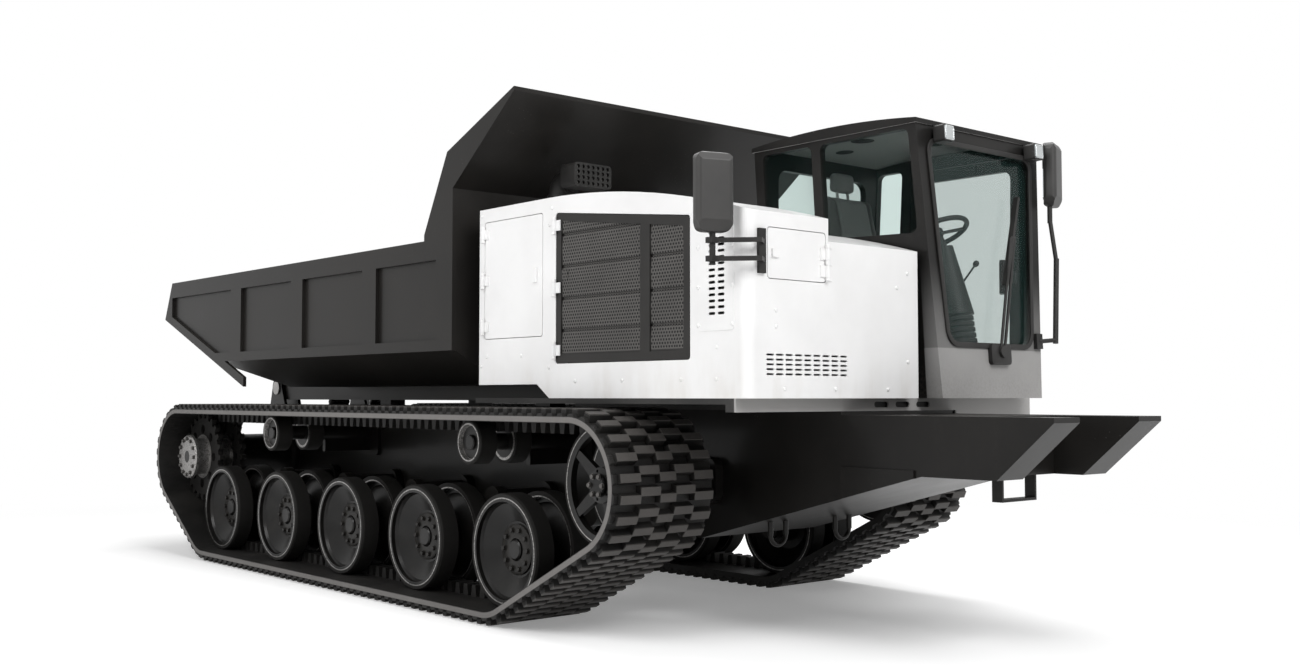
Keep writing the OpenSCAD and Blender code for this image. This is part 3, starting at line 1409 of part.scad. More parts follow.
tow_rings();
deck();
engine_hood();
rear_service_door();
grille_door();
side_vent_panel();
front_service_door();
air_intake();
engine();
radiator();
cooling_fan();
tank();
cab_frame();
cab_roof();
cab_panes();
cab_door();
door_pane();
seat_base();
seat();
console();
steering_wheel();
control_lever();
wiper();
mirror_arms();
mirror_right();
mirror_left();
work_lights();
dump_bed();
pivot_pins();
hoist_barrels();
hoist_rods();
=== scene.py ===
"""Tracked carrier with cab and tipping bed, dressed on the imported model."""
import math

import bpy
from mathutils import Matrix, Vector


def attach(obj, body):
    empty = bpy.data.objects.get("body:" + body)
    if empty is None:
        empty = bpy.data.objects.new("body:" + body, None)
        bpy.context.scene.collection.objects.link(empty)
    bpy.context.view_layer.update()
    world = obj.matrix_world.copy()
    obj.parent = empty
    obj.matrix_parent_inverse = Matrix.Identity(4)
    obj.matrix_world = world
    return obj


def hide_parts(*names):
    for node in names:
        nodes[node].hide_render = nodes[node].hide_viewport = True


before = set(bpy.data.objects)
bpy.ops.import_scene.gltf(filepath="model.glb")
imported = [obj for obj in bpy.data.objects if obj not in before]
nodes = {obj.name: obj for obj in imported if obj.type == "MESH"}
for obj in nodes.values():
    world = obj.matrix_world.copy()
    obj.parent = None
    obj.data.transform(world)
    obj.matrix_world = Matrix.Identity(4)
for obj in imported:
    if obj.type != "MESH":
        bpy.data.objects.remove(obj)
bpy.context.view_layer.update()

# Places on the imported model, in metres: (x, z) for what turns, radii for what the band lies on
wheel_z = 0.4154
wheel_centres = [(-2.929 + i, wheel_z) for i in range(5)]
sprocket_centre = (-3.511, 0.8086)
idler_centre = (1.892, 0.8336)
roller_centres = [(-2.041, 1.0366), (0.693, 1.0366)]
wheel_radius, idler_radius, sprocket_radius = 0.3354, 0.3384, 0.3634
loop_circles = [
    (*wheel_centres[0], wheel_radius),
    (*wheel_centres[-1], wheel_radius),
    (*idler_centre, idler_radius),
    (*sprocket_centre, sprocket_radius),
]
hood_side = -1.255
hood_front = 2.999
cab_middle = 0.640
cab_foot, cab_height = 1.305, 1.519
cab_front, cab_setback = 3.086, 0.087
cab_lean = math.atan(cab_setback / cab_height)
sides = (("right", -1.0), ("left", 1.0))


# Shader arithmetic

class Sock:
    """A shader socket that takes part in Python expressions."""

    def __init__(self, finish, out):
        self.finish = finish
        self.out = out

    def _math(self, op, a, b):
        return self.finish.node("ShaderNodeMath", {"operation": op}, {0: a, 1: b})

    def __add__(self, other):
        return self._math("ADD", self, other)

    def __radd__(self, other):
        return self._math("ADD", other, self)

    def __sub__(self, other):
        return self._math("SUBTRACT", self, other)

    def __rsub__(self, other):
        return self._math("SUBTRACT", other, self)

    def __mul__(self, other):
        return self._math("MULTIPLY", self, other)

    def __rmul__(self, other):
        return self._math("MULTIPLY", other, self)

    def __truediv__(self, other):
        return self._math("DIVIDE", self, other)

    def __pow__(self, other):
        return self._math("POWER", self, other)

    def __mod__(self, other):
        return self._math("FLOORED_MODULO", self, other)

    def __gt__(self, other):
        return self._math("GREATER_THAN", self, other)

    def __abs__(self):
        return self._math("ABSOLUTE", self, 0.0)

    def root(self):
        return self._math("SQRT", self, 0.0)

    def floor(self):
        return self._math("FLOOR", self, 0.0)

    def larger(self, other):
        return self._math("MAXIMUM", self, other)

    def smaller(self, other):
        return self._math("MINIMUM", self, other)

    def step(self, low, high, out_low=0.0, out_high=1.0):
        """A smooth step from low to high."""
        return self.finish.node(
            "ShaderNodeMapRange",
            {"interpolation_type": "SMOOTHSTEP"},
            {0: self, 1: low, 2: high, 3: out_low, 4: out_high},
        )

    def within(self, low, high, soft=0.002):
        """1 between low and high, 0 outside."""
        return self.step(low - soft, low + soft) * self.step(high - soft, high + soft, 1.0, 0.0)


class Finish:
    """A material built from nodes on Object coordinates."""

    def __init__(self, name):
        self.material = bpy.data.materials.new(name)
        self.material.use_nodes = True
        self.tree = self.material.node_tree
        self.tree.nodes.clear()
        self.place = self.node("ShaderNodeTexCoord", {}, {}, "Object")
        split = self.node("ShaderNodeSeparateXYZ", {}, {0: self.place}).out.node
        self.x, self.y, self.z = (Sock(self, split.outputs[i]) for i in range(3))

    def node(self, kind, settings, sockets, output=0):
        """A new node with these settings; a Sock is linked to its input, other values are set."""
        made = self.tree.nodes.new(kind)
        for key, value in settings.items():
            setattr(made, key, value)
        for key, value in sockets.items():
            if isinstance(value, Sock):
                self.tree.links.new(value.out, made.inputs[key])
            else:
                made.inputs[key].default_value = value
        return Sock(self, made.outputs[output])

    def noise(self, scale, detail, stretch=None):
        where = self.place
        if stretch:
            where = self.node("ShaderNodeMapping", {}, {"Vector": where, "Scale": stretch})
        return self.node(
            "ShaderNodeTexNoise",
            {"noise_dimensions": "3D"},
            {"Vector": where, "Scale": scale, "Detail": detail, "Roughness": 0.55},
        )

    def cells(self, scale):
        return self.node(
            "ShaderNodeTexVoronoi",
            {"feature": "F1"},
            {"Vector": self.place, "Scale": scale},
        )

    def wave(self, direction, scale):
        return self.node(
            "ShaderNodeTexWave",
            {"bands_direction": direction},
            {"Vector": self.place, "Scale": scale},
        )

    def mottle(self, cloud, low, high, warm, end=0.7):
        """Two greys that change over into each other with a cloud."""
        return self.mix(cloud.step(0.3, end), grey(low, warm), grey(high, warm))

    def mix(self, factor, a, b):
        return self.node(
            "ShaderNodeMix",
            {"data_type": "RGBA"},
            {0: factor, 6: a, 7: b},
            2,
        )

    def bump(self, height, strength, distance, under=None):
        sockets = {"Height": height, "Strength": strength, "Distance": distance}
        if under:
            sockets["Normal"] = under
        return self.node("ShaderNodeBump", {}, sockets)

    def facing_up(self):
        """1 on faces that look up, -1 on those that look down."""
        normal = self.node("ShaderNodeNewGeometry", {}, {}, "Normal")
        split = self.node("ShaderNodeSeparateXYZ", {}, {0: normal}).out.node
        return Sock(self, split.outputs[2])

    def surface(self, **sockets):
        """Principled surface; names use _ for a space."""
        named = {key.replace("_", " "): value for key, value in sockets.items()}
        return self.show(self.node("ShaderNodeBsdfPrincipled", {}, named))

    def show(self, shader):
        out = self.tree.nodes.new("ShaderNodeOutputMaterial")
        self.tree.links.new(shader.out, out.inputs["Surface"])
        return self.material


def grey(level, warm=0.0):
    """A grey that leans a little to red as warm grows."""
    return (level * (1 + warm), level, level * (1 - warm), 1.0)


def rgb(red, green, blue):
    return (red, green, blue, 1.0)


def reach(a, b):
    """Length of the two sides' diagonal."""
    return (a ** 2.0 + b ** 2.0).root()


def least(a, b):
    """The smaller one; a may be None at the start of a loop."""
    return b if a is None else a.smaller(b)


def white_enamel():
    """Glossy white, with dust near the lower edge and a few specks."""
    f = Finish("white_enamel")
    cloud = f.noise(2.2, 4.0)
    specks = f.noise(260.0, 2.0).step(0.66, 0.78)
    low = f.z.step(1.62, 1.28) * f.noise(7.0, 5.0, stretch=(1.0, 1.0, 0.25)).step(0.42, 0.75)
    tone = f.mix(cloud.step(0.3, 0.7), grey(0.80, 0.004), grey(0.86, 0.002))
    dusty = f.mix(low * 0.35, tone, rgb(0.55, 0.51, 0.46))
    final = f.mix(specks * 0.16, dusty, rgb(0.45, 0.43, 0.40))
    peel = f.bump(f.noise(210.0, 2.0), 0.05, 0.004)
    return f.surface(
        Base_Color=final,
        Roughness=0.26 + 0.12 * cloud + 0.25 * low,
        Coat_Weight=0.55 - 0.4 * low,
        Coat_Roughness=0.12,
        Normal=f.bump(f.noise(1.3, 2.0), 0.04, 0.03, peel),
    )


def charcoal_enamel(name="charcoal_enamel", level=0.014, dust_top=0.9, coat=0.08):
    """Near black paint, dusty below dust_top and on upper faces, with small chips."""
    f = Finish(name)
    cloud = f.noise(1.7, 5.0)
    fine = f.noise(38.0, 4.0)
    streak = f.noise(9.0, 4.0, stretch=(1.0, 1.0, 0.12)).step(0.5, 0.8)
    upward = f.facing_up().step(0.55, 0.95)
    low = f.z.step(dust_top, 0.25)
    dust = (upward * 0.45 + low * 0.4 + streak * 0.12) * fine.step(0.25, 0.75)
    chips = f.cells(46.0).step(0.16, 0.10) * f.noise(3.0, 3.0).step(0.60, 0.68)
    tone = f.mix(cloud.step(0.3, 0.72), grey(level * 0.86, 0.08), grey(level * 1.22, 0.09))
    dusty = f.mix(dust * 0.6, tone, rgb(0.066, 0.060, 0.053))
    final = f.mix(chips * 0.5, dusty, rgb(0.10, 0.097, 0.094))
    peel = f.bump(fine, 0.08, 0.003)
    return f.surface(
        Base_Color=final,
        Roughness=(0.30 + 0.16 * cloud + 0.35 * dust).smaller(0.9),
        Specular_IOR_Level=0.14,
        Coat_Weight=(coat - coat * 0.9 * dust).larger(0.0),
        Coat_Roughness=0.15,
        Normal=f.bump(f.noise(160.0, 2.0), 0.08, 0.002, peel),
    )


def band_rubber():
    """Black rubber; the lugs' tops are grey from wear and a painted highlight, and the band's own edge
    carries a painted highlight.
    """
    f = Finish("band_rubber")
    grain = f.noise(120.0, 4.0)
    cloud = f.noise(3.1, 5.0)
    ground = f.z.step(0.20, 0.03)
    dust = cloud.step(0.42, 0.72) * 0.35 + ground * 0.25
    outward = None
    for (ax, az, ar), (bx, bz, br) in zip(loop_circles, loop_circles[1:] + loop_circles[:1]):
        run, rise = bx - ax, bz - az
        share = ((f.x - ax) * run + (f.z - az) * rise) / (run * run + rise * rise)
        along = share.larger(0.0).smaller(1.0)
        away = reach(f.x - ax - along * run, f.z - az - along * rise) - (along * (br - ar) + ar)
        outward = least(outward, away)
    # A strip of the band's side face along its edge is lifted to light grey: a painted highlight on the
    # edge.
    edge = abs(f.y).step(1.494, 1.497) * outward.within(0.003, 0.033, 0.002)
    tone = f.mix(cloud.step(0.3, 0.7), grey(0.005, 0.05), grey(0.010, 0.06))
    dusty = f.mix(dust * grain.step(0.3, 0.7) * 0.7, tone, rgb(0.044, 0.039, 0.034))
    # The lugs' outer faces turn grey: partly wear, partly a painted highlight on the tread tops.
    tops = outward.step(0.070, 0.077) * (0.55 + 0.45 * cloud)
    worn_and_highlit = f.mix(tops, dusty, rgb(0.074, 0.069, 0.065))
    return f.surface(
        Base_Color=f.mix(edge * (0.65 + 0.35 * cloud), worn_and_highlit, rgb(0.190, 0.181, 0.174)),
        Roughness=0.46 + 0.3 * dust + 0.12 * grain,
        Specular_IOR_Level=0.25,
        Normal=f.bump(grain, 0.25, 0.004),
    )


def wheel_finish(name, centres, rim, tyre):
    """Rolling part seen end on: rubber outside tyre, a bright steel ring inside it that is partly a painted
    highlight on the rim, paint within.
    """
    f = Finish(name)
    grain = f.noise(90.0, 4.0)
    cloud = f.noise(5.0, 4.0)
    near = None
    for cx, cz in centres:
        near = least(near, reach(f.x - cx, f.z - cz))
    rubber = near.step(tyre - 0.001, tyre + 0.001)
    # Bright grey metallic ring on the rim: partly unpainted steel, partly a painted highlight along the
    # rim's edge.
    steel_ring_and_highlight = near.within(rim, tyre - 0.002, 0.0015)
    paint = f.mix(cloud.step(0.3, 0.7), grey(0.005, 0.06), grey(0.009, 0.07))
    dusty = f.mix(cloud.step(0.5, 0.8) * grain * 0.3, paint, rgb(0.050, 0.045, 0.039))
    worn_and_highlit = f.mix(steel_ring_and_highlight * grain.step(0.2, 0.6), dusty, rgb(0.34, 0.33, 0.32))
    final = f.mix(rubber, worn_and_highlit, grey(0.012, 0.06))
    return f.surface(
        Base_Color=final,
        Roughness=0.25 + 0.20 * grain + 0.3 * rubber,
        Metallic=steel_ring_and_highlight * 0.8,
        Specular_IOR_Level=0.16,
        Coat_Weight=0.14 - 0.14 * rubber,
        Coat_Roughness=0.2,
        Normal=f.bump(grain, 0.14, 0.003),
    )


def cab_enamel():
    """Black frame; the front panel below the windscreen is mid grey, and a painted light lifts the front
    faces of its posts toward that grey.
    """
    f = Finish("cab_enamel")
    cloud = f.noise(2.4, 4.0)
    fine = f.noise(70.0, 3.0)
    front = f.x.step(2.975, 2.985)
    panel = front * f.z.step(1.585, 1.575)
    # The black posts' front faces are lifted toward the panel's grey, most low down and fading out upward:
    # painted light on the posts.
    post = front * f.z.step(2.10, 1.55)
    dark = f.mix(cloud.step(0.3, 0.7), grey(0.007, 0.06), grey(0.012, 0.07))
    mid = f.mix(cloud.step(0.3, 0.7), grey(0.290, 0.015), grey(0.325, 0.018))
    shade = f.mix((panel + post * 0.55).smaller(1.0), dark, mid)
    dust = f.z.step(1.55, 1.33) * fine.step(0.35, 0.75) * 0.22
    return f.surface(
        Base_Color=f.mix(dust, shade, rgb(0.17, 0.155, 0.14)),
        Roughness=0.34 + 0.14 * cloud + 0.1 * fine,
        Specular_IOR_Level=0.16,
        Coat_Weight=0.10 - 0.05 * dust,
        Coat_Roughness=0.15,
        Normal=f.bump(fine, 0.06, 0.002),
    )


def roof_enamel():
    """Dark outside; the lining under the roof is pale grey felt."""
    f = Finish("roof_enamel")
    cloud = f.noise(2.0, 4.0)
    felt = f.noise(420.0, 3.0)
    lining = f.facing_up().step(-0.3, -0.6) * f.z.step(2.80, 2.82)
    dust = f.facing_up().step(0.5, 0.95) * f.noise(14.0, 5.0).step(0.4, 0.75) * 0.3
    dark = f.mix(cloud.step(0.3, 0.7), grey(0.007, 0.06), grey(0.012, 0.07))
    outside = f.mix(dust, dark, rgb(0.075, 0.07, 0.064))
    inside = f.mix(felt, grey(0.19, 0.02), grey(0.27, 0.02))
    for cx, cy, radius in ((2.30, 0.44, 0.075), (2.52, 0.86, 0.060), (2.02, 0.60, 0.060)):
        inside = f.mix(reach(f.x - cx, f.y - cy).step(radius, radius - 0.006), inside, grey(0.020))
    return f.surface(
        Base_Color=f.mix(lining, outside, inside),
        Roughness=0.34 + 0.15 * cloud + 0.4 * lining,
        Specular_IOR_Level=0.16,
        Normal=f.bump(felt, 0.10, 0.002),
    )


def cab_glass():
    """Green tinted safety glass, clearer in the windscreen, with a little dust low down."""
    f = Finish("cab_glass")
    smear = f.noise(6.0, 5.0, stretch=(1.0, 1.0, 0.3))
    front = f.x.step(2.86, 2.98)
    dust = f.z.step(2.0, 1.6) * smear.step(0.45, 0.8) * 0.25
    tinted, clear = (
        f.node("ShaderNodeBsdfTransparent", {}, {"Color": colour})
        for colour in (rgb(0.915, 0.955, 0.945), rgb(0.975, 0.985, 0.982))
    )
    see = f.node("ShaderNodeMixShader", {}, {0: front, 1: tinted, 2: clear})
    gloss = f.node(
        "ShaderNodeBsdfPrincipled",
        {},
        {
            "Base Color": f.mix(dust, rgb(0.02, 0.05, 0.045), rgb(0.30, 0.30, 0.27)),
            "Roughness": 0.03 + 0.25 * dust,
            "Coat Weight": 0.5,
        },
    )
    rim = f.node("ShaderNodeLayerWeight", {}, {"Blend": 0.25}, "Fresnel")
    shine = (rim * 0.35 + 0.02 + dust * 0.2).smaller(0.6)
    return f.show(f.node("ShaderNodeMixShader", {}, {0: shine, 1: see, 2: gloss}))


def moulded_black():
    """Grained black plastic."""
    f = Finish("moulded_black")
    grain = f.cells(420.0)
    cloud = f.noise(5.0, 4.0)
    return f.surface(
        Base_Color=f.mottle(cloud, 0.011, 0.026, 0.04, 0.75),
        Roughness=0.42 + 0.2 * cloud,
        Specular_IOR_Level=0.3,
        Normal=f.bump(grain, 0.16, 0.001),
    )


def intake_black():
    """Moulded head and pipe; dusty foam shows grey at the bottom of the head's holes."""
    f = Finish("intake_black")
    cloud = f.noise(5.0, 4.0)
    foam = f.noise(260.0, 3.0)
    front = f.x.within(1.1455, 1.1485, 0.0005)
    holes = front * (f.y + 0.755).within(-0.130, 0.130) * (f.z - 2.669).within(-0.062, 0.062)
    black = f.mottle(cloud, 0.009, 0.019, 0.05, 0.75)
    return f.surface(
        Base_Color=f.mix(holes, black, f.mix(foam, grey(0.09, 0.03), grey(0.20, 0.03))),
        Roughness=0.34 + 0.2 * cloud + 0.3 * holes,
        Specular_IOR_Level=0.3,
        Normal=f.bump(f.cells(420.0), 0.12, 0.001),
    )


def mirror_shell():
    """Dark matt shells, with a finer grain than the trim."""
    f = Finish("mirror_shell")
    grain = f.noise(300.0, 2.0)
    cloud = f.noise(4.0, 4.0)
    return f.surface(
        Base_Color=f.mottle(cloud, 0.016, 0.026, 0.05, 0.75),
        Roughness=0.42 + 0.14 * cloud,
        Coat_Weight=0.08,
        Coat_Roughness=0.25,
        Normal=f.bump(grain, 0.05, 0.001),
    )


def deck_tread():
    """Dark tread plate; the upright face of its front beam is mid grey."""
    f = Finish("deck_tread")
    grain = f.noise(85.0, 4.0)
    cloud = f.noise(2.5, 5.0)
    upward = f.facing_up().step(0.6, 0.95)
    row = (f.x * 20.0 + f.y * 20.0).floor() % 2.0
    u = abs((f.x + f.y) * 20.0 % 1.0 - 0.5)
    v = abs((f.x - f.y) * 20.0 % 1.0 - 0.5)
    bar = (u.step(0.30, 0.22) * v.step(0.12, 0.06)) * row
    bar_b = (v.step(0.30, 0.22) * u.step(0.12, 0.06)) * (1.0 - row)
    tread = (bar + bar_b) * upward
    dust = upward * cloud.step(0.35, 0.7) * 0.4
    tone = f.mottle(cloud, 0.020, 0.036, 0.03)
    dusty = f.mix(dust, tone, rgb(0.11, 0.10, 0.09))
    plate = f.mix(tread * 0.5, dusty, rgb(0.17, 0.165, 0.16))
    beam = f.x.step(2.900, 2.908) * (1.0 - upward)
    return f.surface(
        Base_Color=f.mix(beam, plate, grey(0.360, 0.02)),
        Roughness=0.46 + 0.2 * grain + 0.15 * dust - 0.12 * tread,
        Specular_IOR_Level=0.25,
        Normal=f.bump(grain * 0.15 + tread, 0.35, 0.003),
    )


def seat_weave():
    """Woven cloth, with a paler strip down the middle of the seat."""
    f = Finish("seat_weave")
    across = f.wave("X", 210.0)
    along = f.wave("Z", 210.0)
    side = f.wave("Y", 210.0)
    weave = across * side + along * side
    cloud = f.noise(9.0, 4.0)
    centre = abs(f.y - cab_middle).step(0.155, 0.135)
    dark = f.mix(cloud, grey(0.085, 0.02), grey(0.125, 0.02))
    pale = f.mix(cloud, grey(0.230, 0.01), grey(0.310, 0.01))
    cloth = f.mix(centre, dark, pale)
    return f.surface(
        Base_Color=f.mix(weave.step(0.2, 0.9) * 0.35, cloth, grey(0.03)),
        Roughness=0.82 + 0.1 * cloud,
        Sheen_Weight=0.25,
        Sheen_Roughness=0.5,
        Normal=f.bump(weave, 0.35, 0.0015),
    )


def bare_metal(name, tint, rough, scale=60.0):
    """Unpainted metal, a little cloudy."""
    f = Finish(name)
    grain = f.noise(scale, 4.0)
    cloud = f.noise(5.0, 4.0)
    return f.surface(
        Base_Color=f.mix(cloud.step(0.35, 0.7), tint, rgb(*(0.72 * c for c in tint[:3]))),
        Roughness=rough + 0.18 * grain * cloud,
        Metallic=0.92 - 0.2 * cloud,
        Normal=f.bump(grain, 0.08, 0.001),
    )


def cast_iron():
    """Rough grey iron with oily patches."""
    f = Finish("cast_iron")
    grain = f.noise(140.0, 5.0)
    cloud = f.noise(6.0, 5.0)
    oily = cloud.step(0.5, 0.8)
    return f.surface(
        Base_Color=f.mix(oily, grey(0.085, 0.02), rgb(0.035, 0.03, 0.026)),
        Roughness=0.62 - 0.25 * oily + 0.1 * grain,
        Metallic=0.35,
        Normal=f.bump(grain, 0.35, 0.003),
    )


def cooler_fins():
    """Fins and tubes of the cooler's core, with dust between them."""
    f = Finish("cooler_fins")
    fins = f.wave("Z", 60.0)
    tubes = f.wave("X", 14.0)
    dust = f.noise(8.0, 5.0).step(0.4, 0.75)
    core = f.mix(fins * 0.7, rgb(0.30, 0.31, 0.32), rgb(0.08, 0.08, 0.085))
    return f.surface(
        Base_Color=f.mix(dust * 0.5, core, rgb(0.20, 0.18, 0.155)),
        Roughness=0.42 + 0.3 * dust,
        Metallic=0.7 - 0.5 * dust,
        Normal=f.bump(fins + tubes * 0.6, 0.4, 0.002),
    )


def grille_enamel():
    """Perforated louvre sheet between plain dark frame bars, with white hinge leaves; the holes are painted
    shade.
    """
    f = Finish("grille_enamel")
    pitch = 0.021
    row = (f.z / (pitch * 0.866)).floor() % 2.0
    u = (f.x / pitch + row * 0.5) % 1.0 - 0.5
    v = (f.z / (pitch * 0.866)) % 1.0 - 0.5
    hole = (u * u + v * v * 0.75).root().step(0.34, 0.26)
    left = f.x.within(1.515, 2.192) + f.x.within(2.284, 2.535)
    field = left * f.z.within(1.560, 2.330) * (f.y > -1.2545)
    dots = hole * field
    cloud = f.noise(4.0, 4.0)
    fine = f.noise(80.0, 3.0)
    sheet = f.mottle(cloud, 0.070, 0.086, 0.05)
    bars = f.mottle(cloud, 0.014, 0.020, 0.06)
    plain = f.mix(field, bars, sheet)
    # The perforations are near-black dots: painted shade inside the holes.
    holes_painted_shade = f.mix(dots, plain, grey(0.006))
    leaf = f.y.step(-1.2555, -1.2565) * f.x.step(1.520, 1.515)
    return f.surface(
        Base_Color=f.mix(leaf, holes_painted_shade, grey(0.80)),
        Roughness=0.40 + 0.15 * cloud + 0.3 * dots,
        Specular_IOR_Level=0.25,
        Normal=f.bump(fine * 0.2 - dots, 0.5, 0.004),
    )


def lamp_lens():
    """Ribbed glass with a bright reflector behind it."""
    f = Finish("lamp_lens")
    ribs = f.wave("Y", 32.0)
    cross = f.wave("Z", 32.0)
    return f.surface(
        Base_Color=f.mix(ribs, rgb(0.36, 0.39, 0.40), rgb(0.58, 0.60, 0.60)),
        Roughness=0.12 + 0.1 * cross,
        Metallic=0.35,
        Coat_Weight=0.9,
        Normal=f.bump(ribs + cross, 0.35, 0.002),
    )


def mirror_silver():
    """Silvered glass with a little dust."""
    f = Finish("mirror_silver")
    dust = f.noise(11.0, 5.0).step(0.5, 0.8)
    return f.surface(
        Base_Color=f.mix(dust * 0.25, rgb(0.80, 0.83, 0.84), rgb(0.5, 0.48, 0.45)),
        Roughness=0.02 + 0.2 * dust,
        Metallic=1.0 - 0.3 * dust,
        Coat_Weight=0.4,
    )


white = white_enamel()
charcoal = charcoal_enamel()
bed_grey = charcoal_enamel("bed_enamel", 0.013, 0.4)
hull_black = charcoal_enamel("hull_enamel", 0.008, 0.5, 0.12)
rubber = band_rubber()
plastic = moulded_black()
steel = bare_metal("pin_steel", rgb(0.42, 0.41, 0.40), 0.38)
dark_steel = bare_metal("dark_steel", rgb(0.11, 0.105, 0.10), 0.42)
dressing = {
    "track_band_": rubber,
    "road_wheel_": wheel_finish("road_wheel_enamel", wheel_centres, 0.3015, 0.310),
    "sprocket_": wheel_finish("sprocket_enamel", [sprocket_centre], 0.05, 0.185),
    "idler_right": wheel_finish("idler_enamel", [idler_centre], 0.318, 0.326),
    "rear_roller_": wheel_finish("roller_enamel", roller_centres, 0.100, 0.118),
    "final_drives": hull_black,
    "suspension_arms": hull_black,
    "idler_yokes": hull_black,
    "roller_brackets": hull_black,
    "hull_tub": hull_black,
    "front_prongs": hull_black,
    "stirrup_step": hull_black,
    "tow_rings": hull_black,
    "deck": deck_tread(),
    "engine_hood": white,
    "rear_service_door": white,
    "grille_door": grille_enamel(),
    "side_vent_panel": white,
    "front_service_door": white,
    "air_intake": intake_black(),
    "engine": cast_iron(),
    "radiator": cooler_fins(),
    "cooling_fan": plastic,
    "tank": charcoal,
    "cab_frame": cab_enamel(),
    "cab_roof": roof_enamel(),
    "cab_panes": cab_glass(),
    "seat_base": plastic,
    "console": plastic,
    "steering_wheel": plastic,
    "control_lever": plastic,
    "wiper": plastic,
    "mirror_arms": plastic,
    "mirror_right": mirror_shell(),
    "work_lights": plastic,
    "dump_bed": bed_grey,
    "pivot_pins": steel,
    "hoist_barrels": charcoal,
    "hoist_rods": bare_metal("rod_chrome", rgb(0.66, 0.67, 0.68), 0.10, 200.0),
}
dressing["idler_left"] = dressing["idler_right"]
dressing["front_roller_"] = dressing["rear_roller_"]
dressing["cab_door"] = dressing["cab_frame"]
dressing["door_pane"] = dressing["cab_panes"]
dressing["mirror_left"] = dressing["mirror_right"]
dressing["seat"] = seat_weave()


def dress(shape, material):
    """Gives the shape this one material."""
    shape.data.materials.clear()
    shape.data.materials.append(material)


def finish_of(name):
    """The node's own finish, or the one for all names that start with a key ending in _."""
    if name in dressing:
        return dressing[name]
    return next(dressing[key] for key in dressing if key.endswith("_") and name.startswith(key))


for name, shape in nodes.items():
    for slot in shape.material_slots:
        slot.material = finish_of(name)


# Modelling by hand: a primitive, then edit mode

def choose(*pieces):
    """Selects these pieces alone; the first is active."""
    bpy.ops.object.select_all(action="DESELECT")
    for piece in pieces:
        piece.select_set(True)
    bpy.context.view_layer.objects.active = pieces[0]


def add(kind, **how):
    """A mesh primitive with its place applied to the mesh."""
    bpy.ops.object.select_all(action="DESELECT")
    getattr(bpy.ops.mesh, f"primitive_{kind}_add")(**how)
    piece = bpy.context.object
    bpy.ops.object.transform_apply()
    return piece


def pick(piece, test):
    """Selects in edit mode the faces whose centre and normal pass the test."""
    bpy.ops.object.mode_set(mode="EDIT")
    bpy.ops.mesh.select_mode(type="FACE")
    bpy.ops.mesh.select_all(action="DESELECT")
    bpy.ops.object.mode_set(mode="OBJECT")
    for face in piece.data.polygons:
        face.select = bool(test(face.center, face.normal))
    bpy.ops.object.mode_set(mode="EDIT")


def pick_edges(piece, test):
    """Selects in edit mode the edges whose two ends pass the test."""
    bpy.ops.object.mode_set(mode="EDIT")
    bpy.ops.mesh.select_mode(type="EDGE")
    bpy.ops.mesh.select_all(action="DESELECT")
    bpy.ops.object.mode_set(mode="OBJECT")
    points = piece.data.vertices
    for edge in piece.data.edges:
        edge.select = bool(test(points[edge.vertices[0]].co, points[edge.vertices[1]].co))
    bpy.ops.object.mode_set(mode="EDIT")


def leave():
    bpy.ops.object.mode_set(mode="OBJECT")


def add_sized(kind, *sizes):
    """A cube or plane with these edge lengths."""
    piece = add(kind, size=1.0)
    bpy.ops.object.mode_set(mode="EDIT")
    bpy.ops.mesh.select_all(action="SELECT")
    bpy.ops.transform.resize(value=sizes)
    leave()
    return piece


def raise_faces(way):
    bpy.ops.mesh.extrude_region_move(TRANSFORM_OT_translate={"value": way})


def modify(piece, kind, **settings):
    """Applies one modifier."""
    choose(piece)
    extra = piece.modifiers.new(kind.lower(), kind)
    for key, value in settings.items():
        setattr(extra, key, value)
    bpy.ops.object.modifier_apply(modifier=extra.name)


def copies(model, places):
    """One joined piece with a copy of the model at each matrix; the model itself stays."""
    made = []
    for place in places:
        copy = model.copy()
        copy.data = model.data.copy()
        copy.data.transform(place)
        bpy.context.collection.objects.link(copy)
        made.append(copy)
    choose(*made)
    bpy.ops.object.join()
    return made[0]


def settle(piece, name, body, material, smooth=35.0):
    """Names and dresses a finished piece and lets it ride on its body."""
    choose(piece)
    bpy.ops.object.shade_smooth_by_angle(angle=math.radians(smooth))
    piece.name = name
    piece.data.name = name
    dress(piece, material)
    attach(piece, body)
    return piece


def drop(model):
    bpy.data.objects.remove(model)


def facing(place, towards, turn=0.0):
    """Matrix that sets a piece made along +Z at a place, looking towards a direction."""
    aim = Vector(towards).to_track_quat("Z", "Y").to_matrix().to_4x4()
    return Matrix.Translation(place) @ aim @ Matrix.Rotation(turn, 4, "Z")


def hex_bolt(radius, height):
    """Hexagon head on a washer, with a chamfered top."""
    washer = height * 0.3
    bolt = add("cylinder", vertices=12, radius=radius * 1.35, depth=washer, location=(0, 0, washer / 2))
    pick(bolt, lambda c, n: n.z > 0.9)
    bpy.ops.mesh.inset(thickness=radius * 0.3)
    raise_faces((0, 0, height * 0.55))
    bpy.ops.mesh.inset(thickness=radius * 0.16)
    bpy.ops.transform.translate(value=(0, 0, height * 0.15))
    leave()
    return bolt


def dome_bolt(radius, height):
    """Low button head with a socket."""
    flank = height * 0.4
    bolt = add("cylinder", vertices=16, radius=radius, depth=flank, location=(0, 0, flank / 2))
    pick(bolt, lambda c, n: n.z > 0.9)
    bpy.ops.mesh.inset(thickness=radius * 0.28)
    bpy.ops.transform.translate(value=(0, 0, height * 0.45))
    bpy.ops.mesh.inset(thickness=radius * 0.3)
    bpy.ops.transform.translate(value=(0, 0, height * 0.15))
    bpy.ops.mesh.inset(thickness=radius * 0.06)
    raise_faces((0, 0, -height * 0.3))
    leave()
    return bolt


def round_the_circle(count):
    return [math.tau * k / count for k in range(count)]


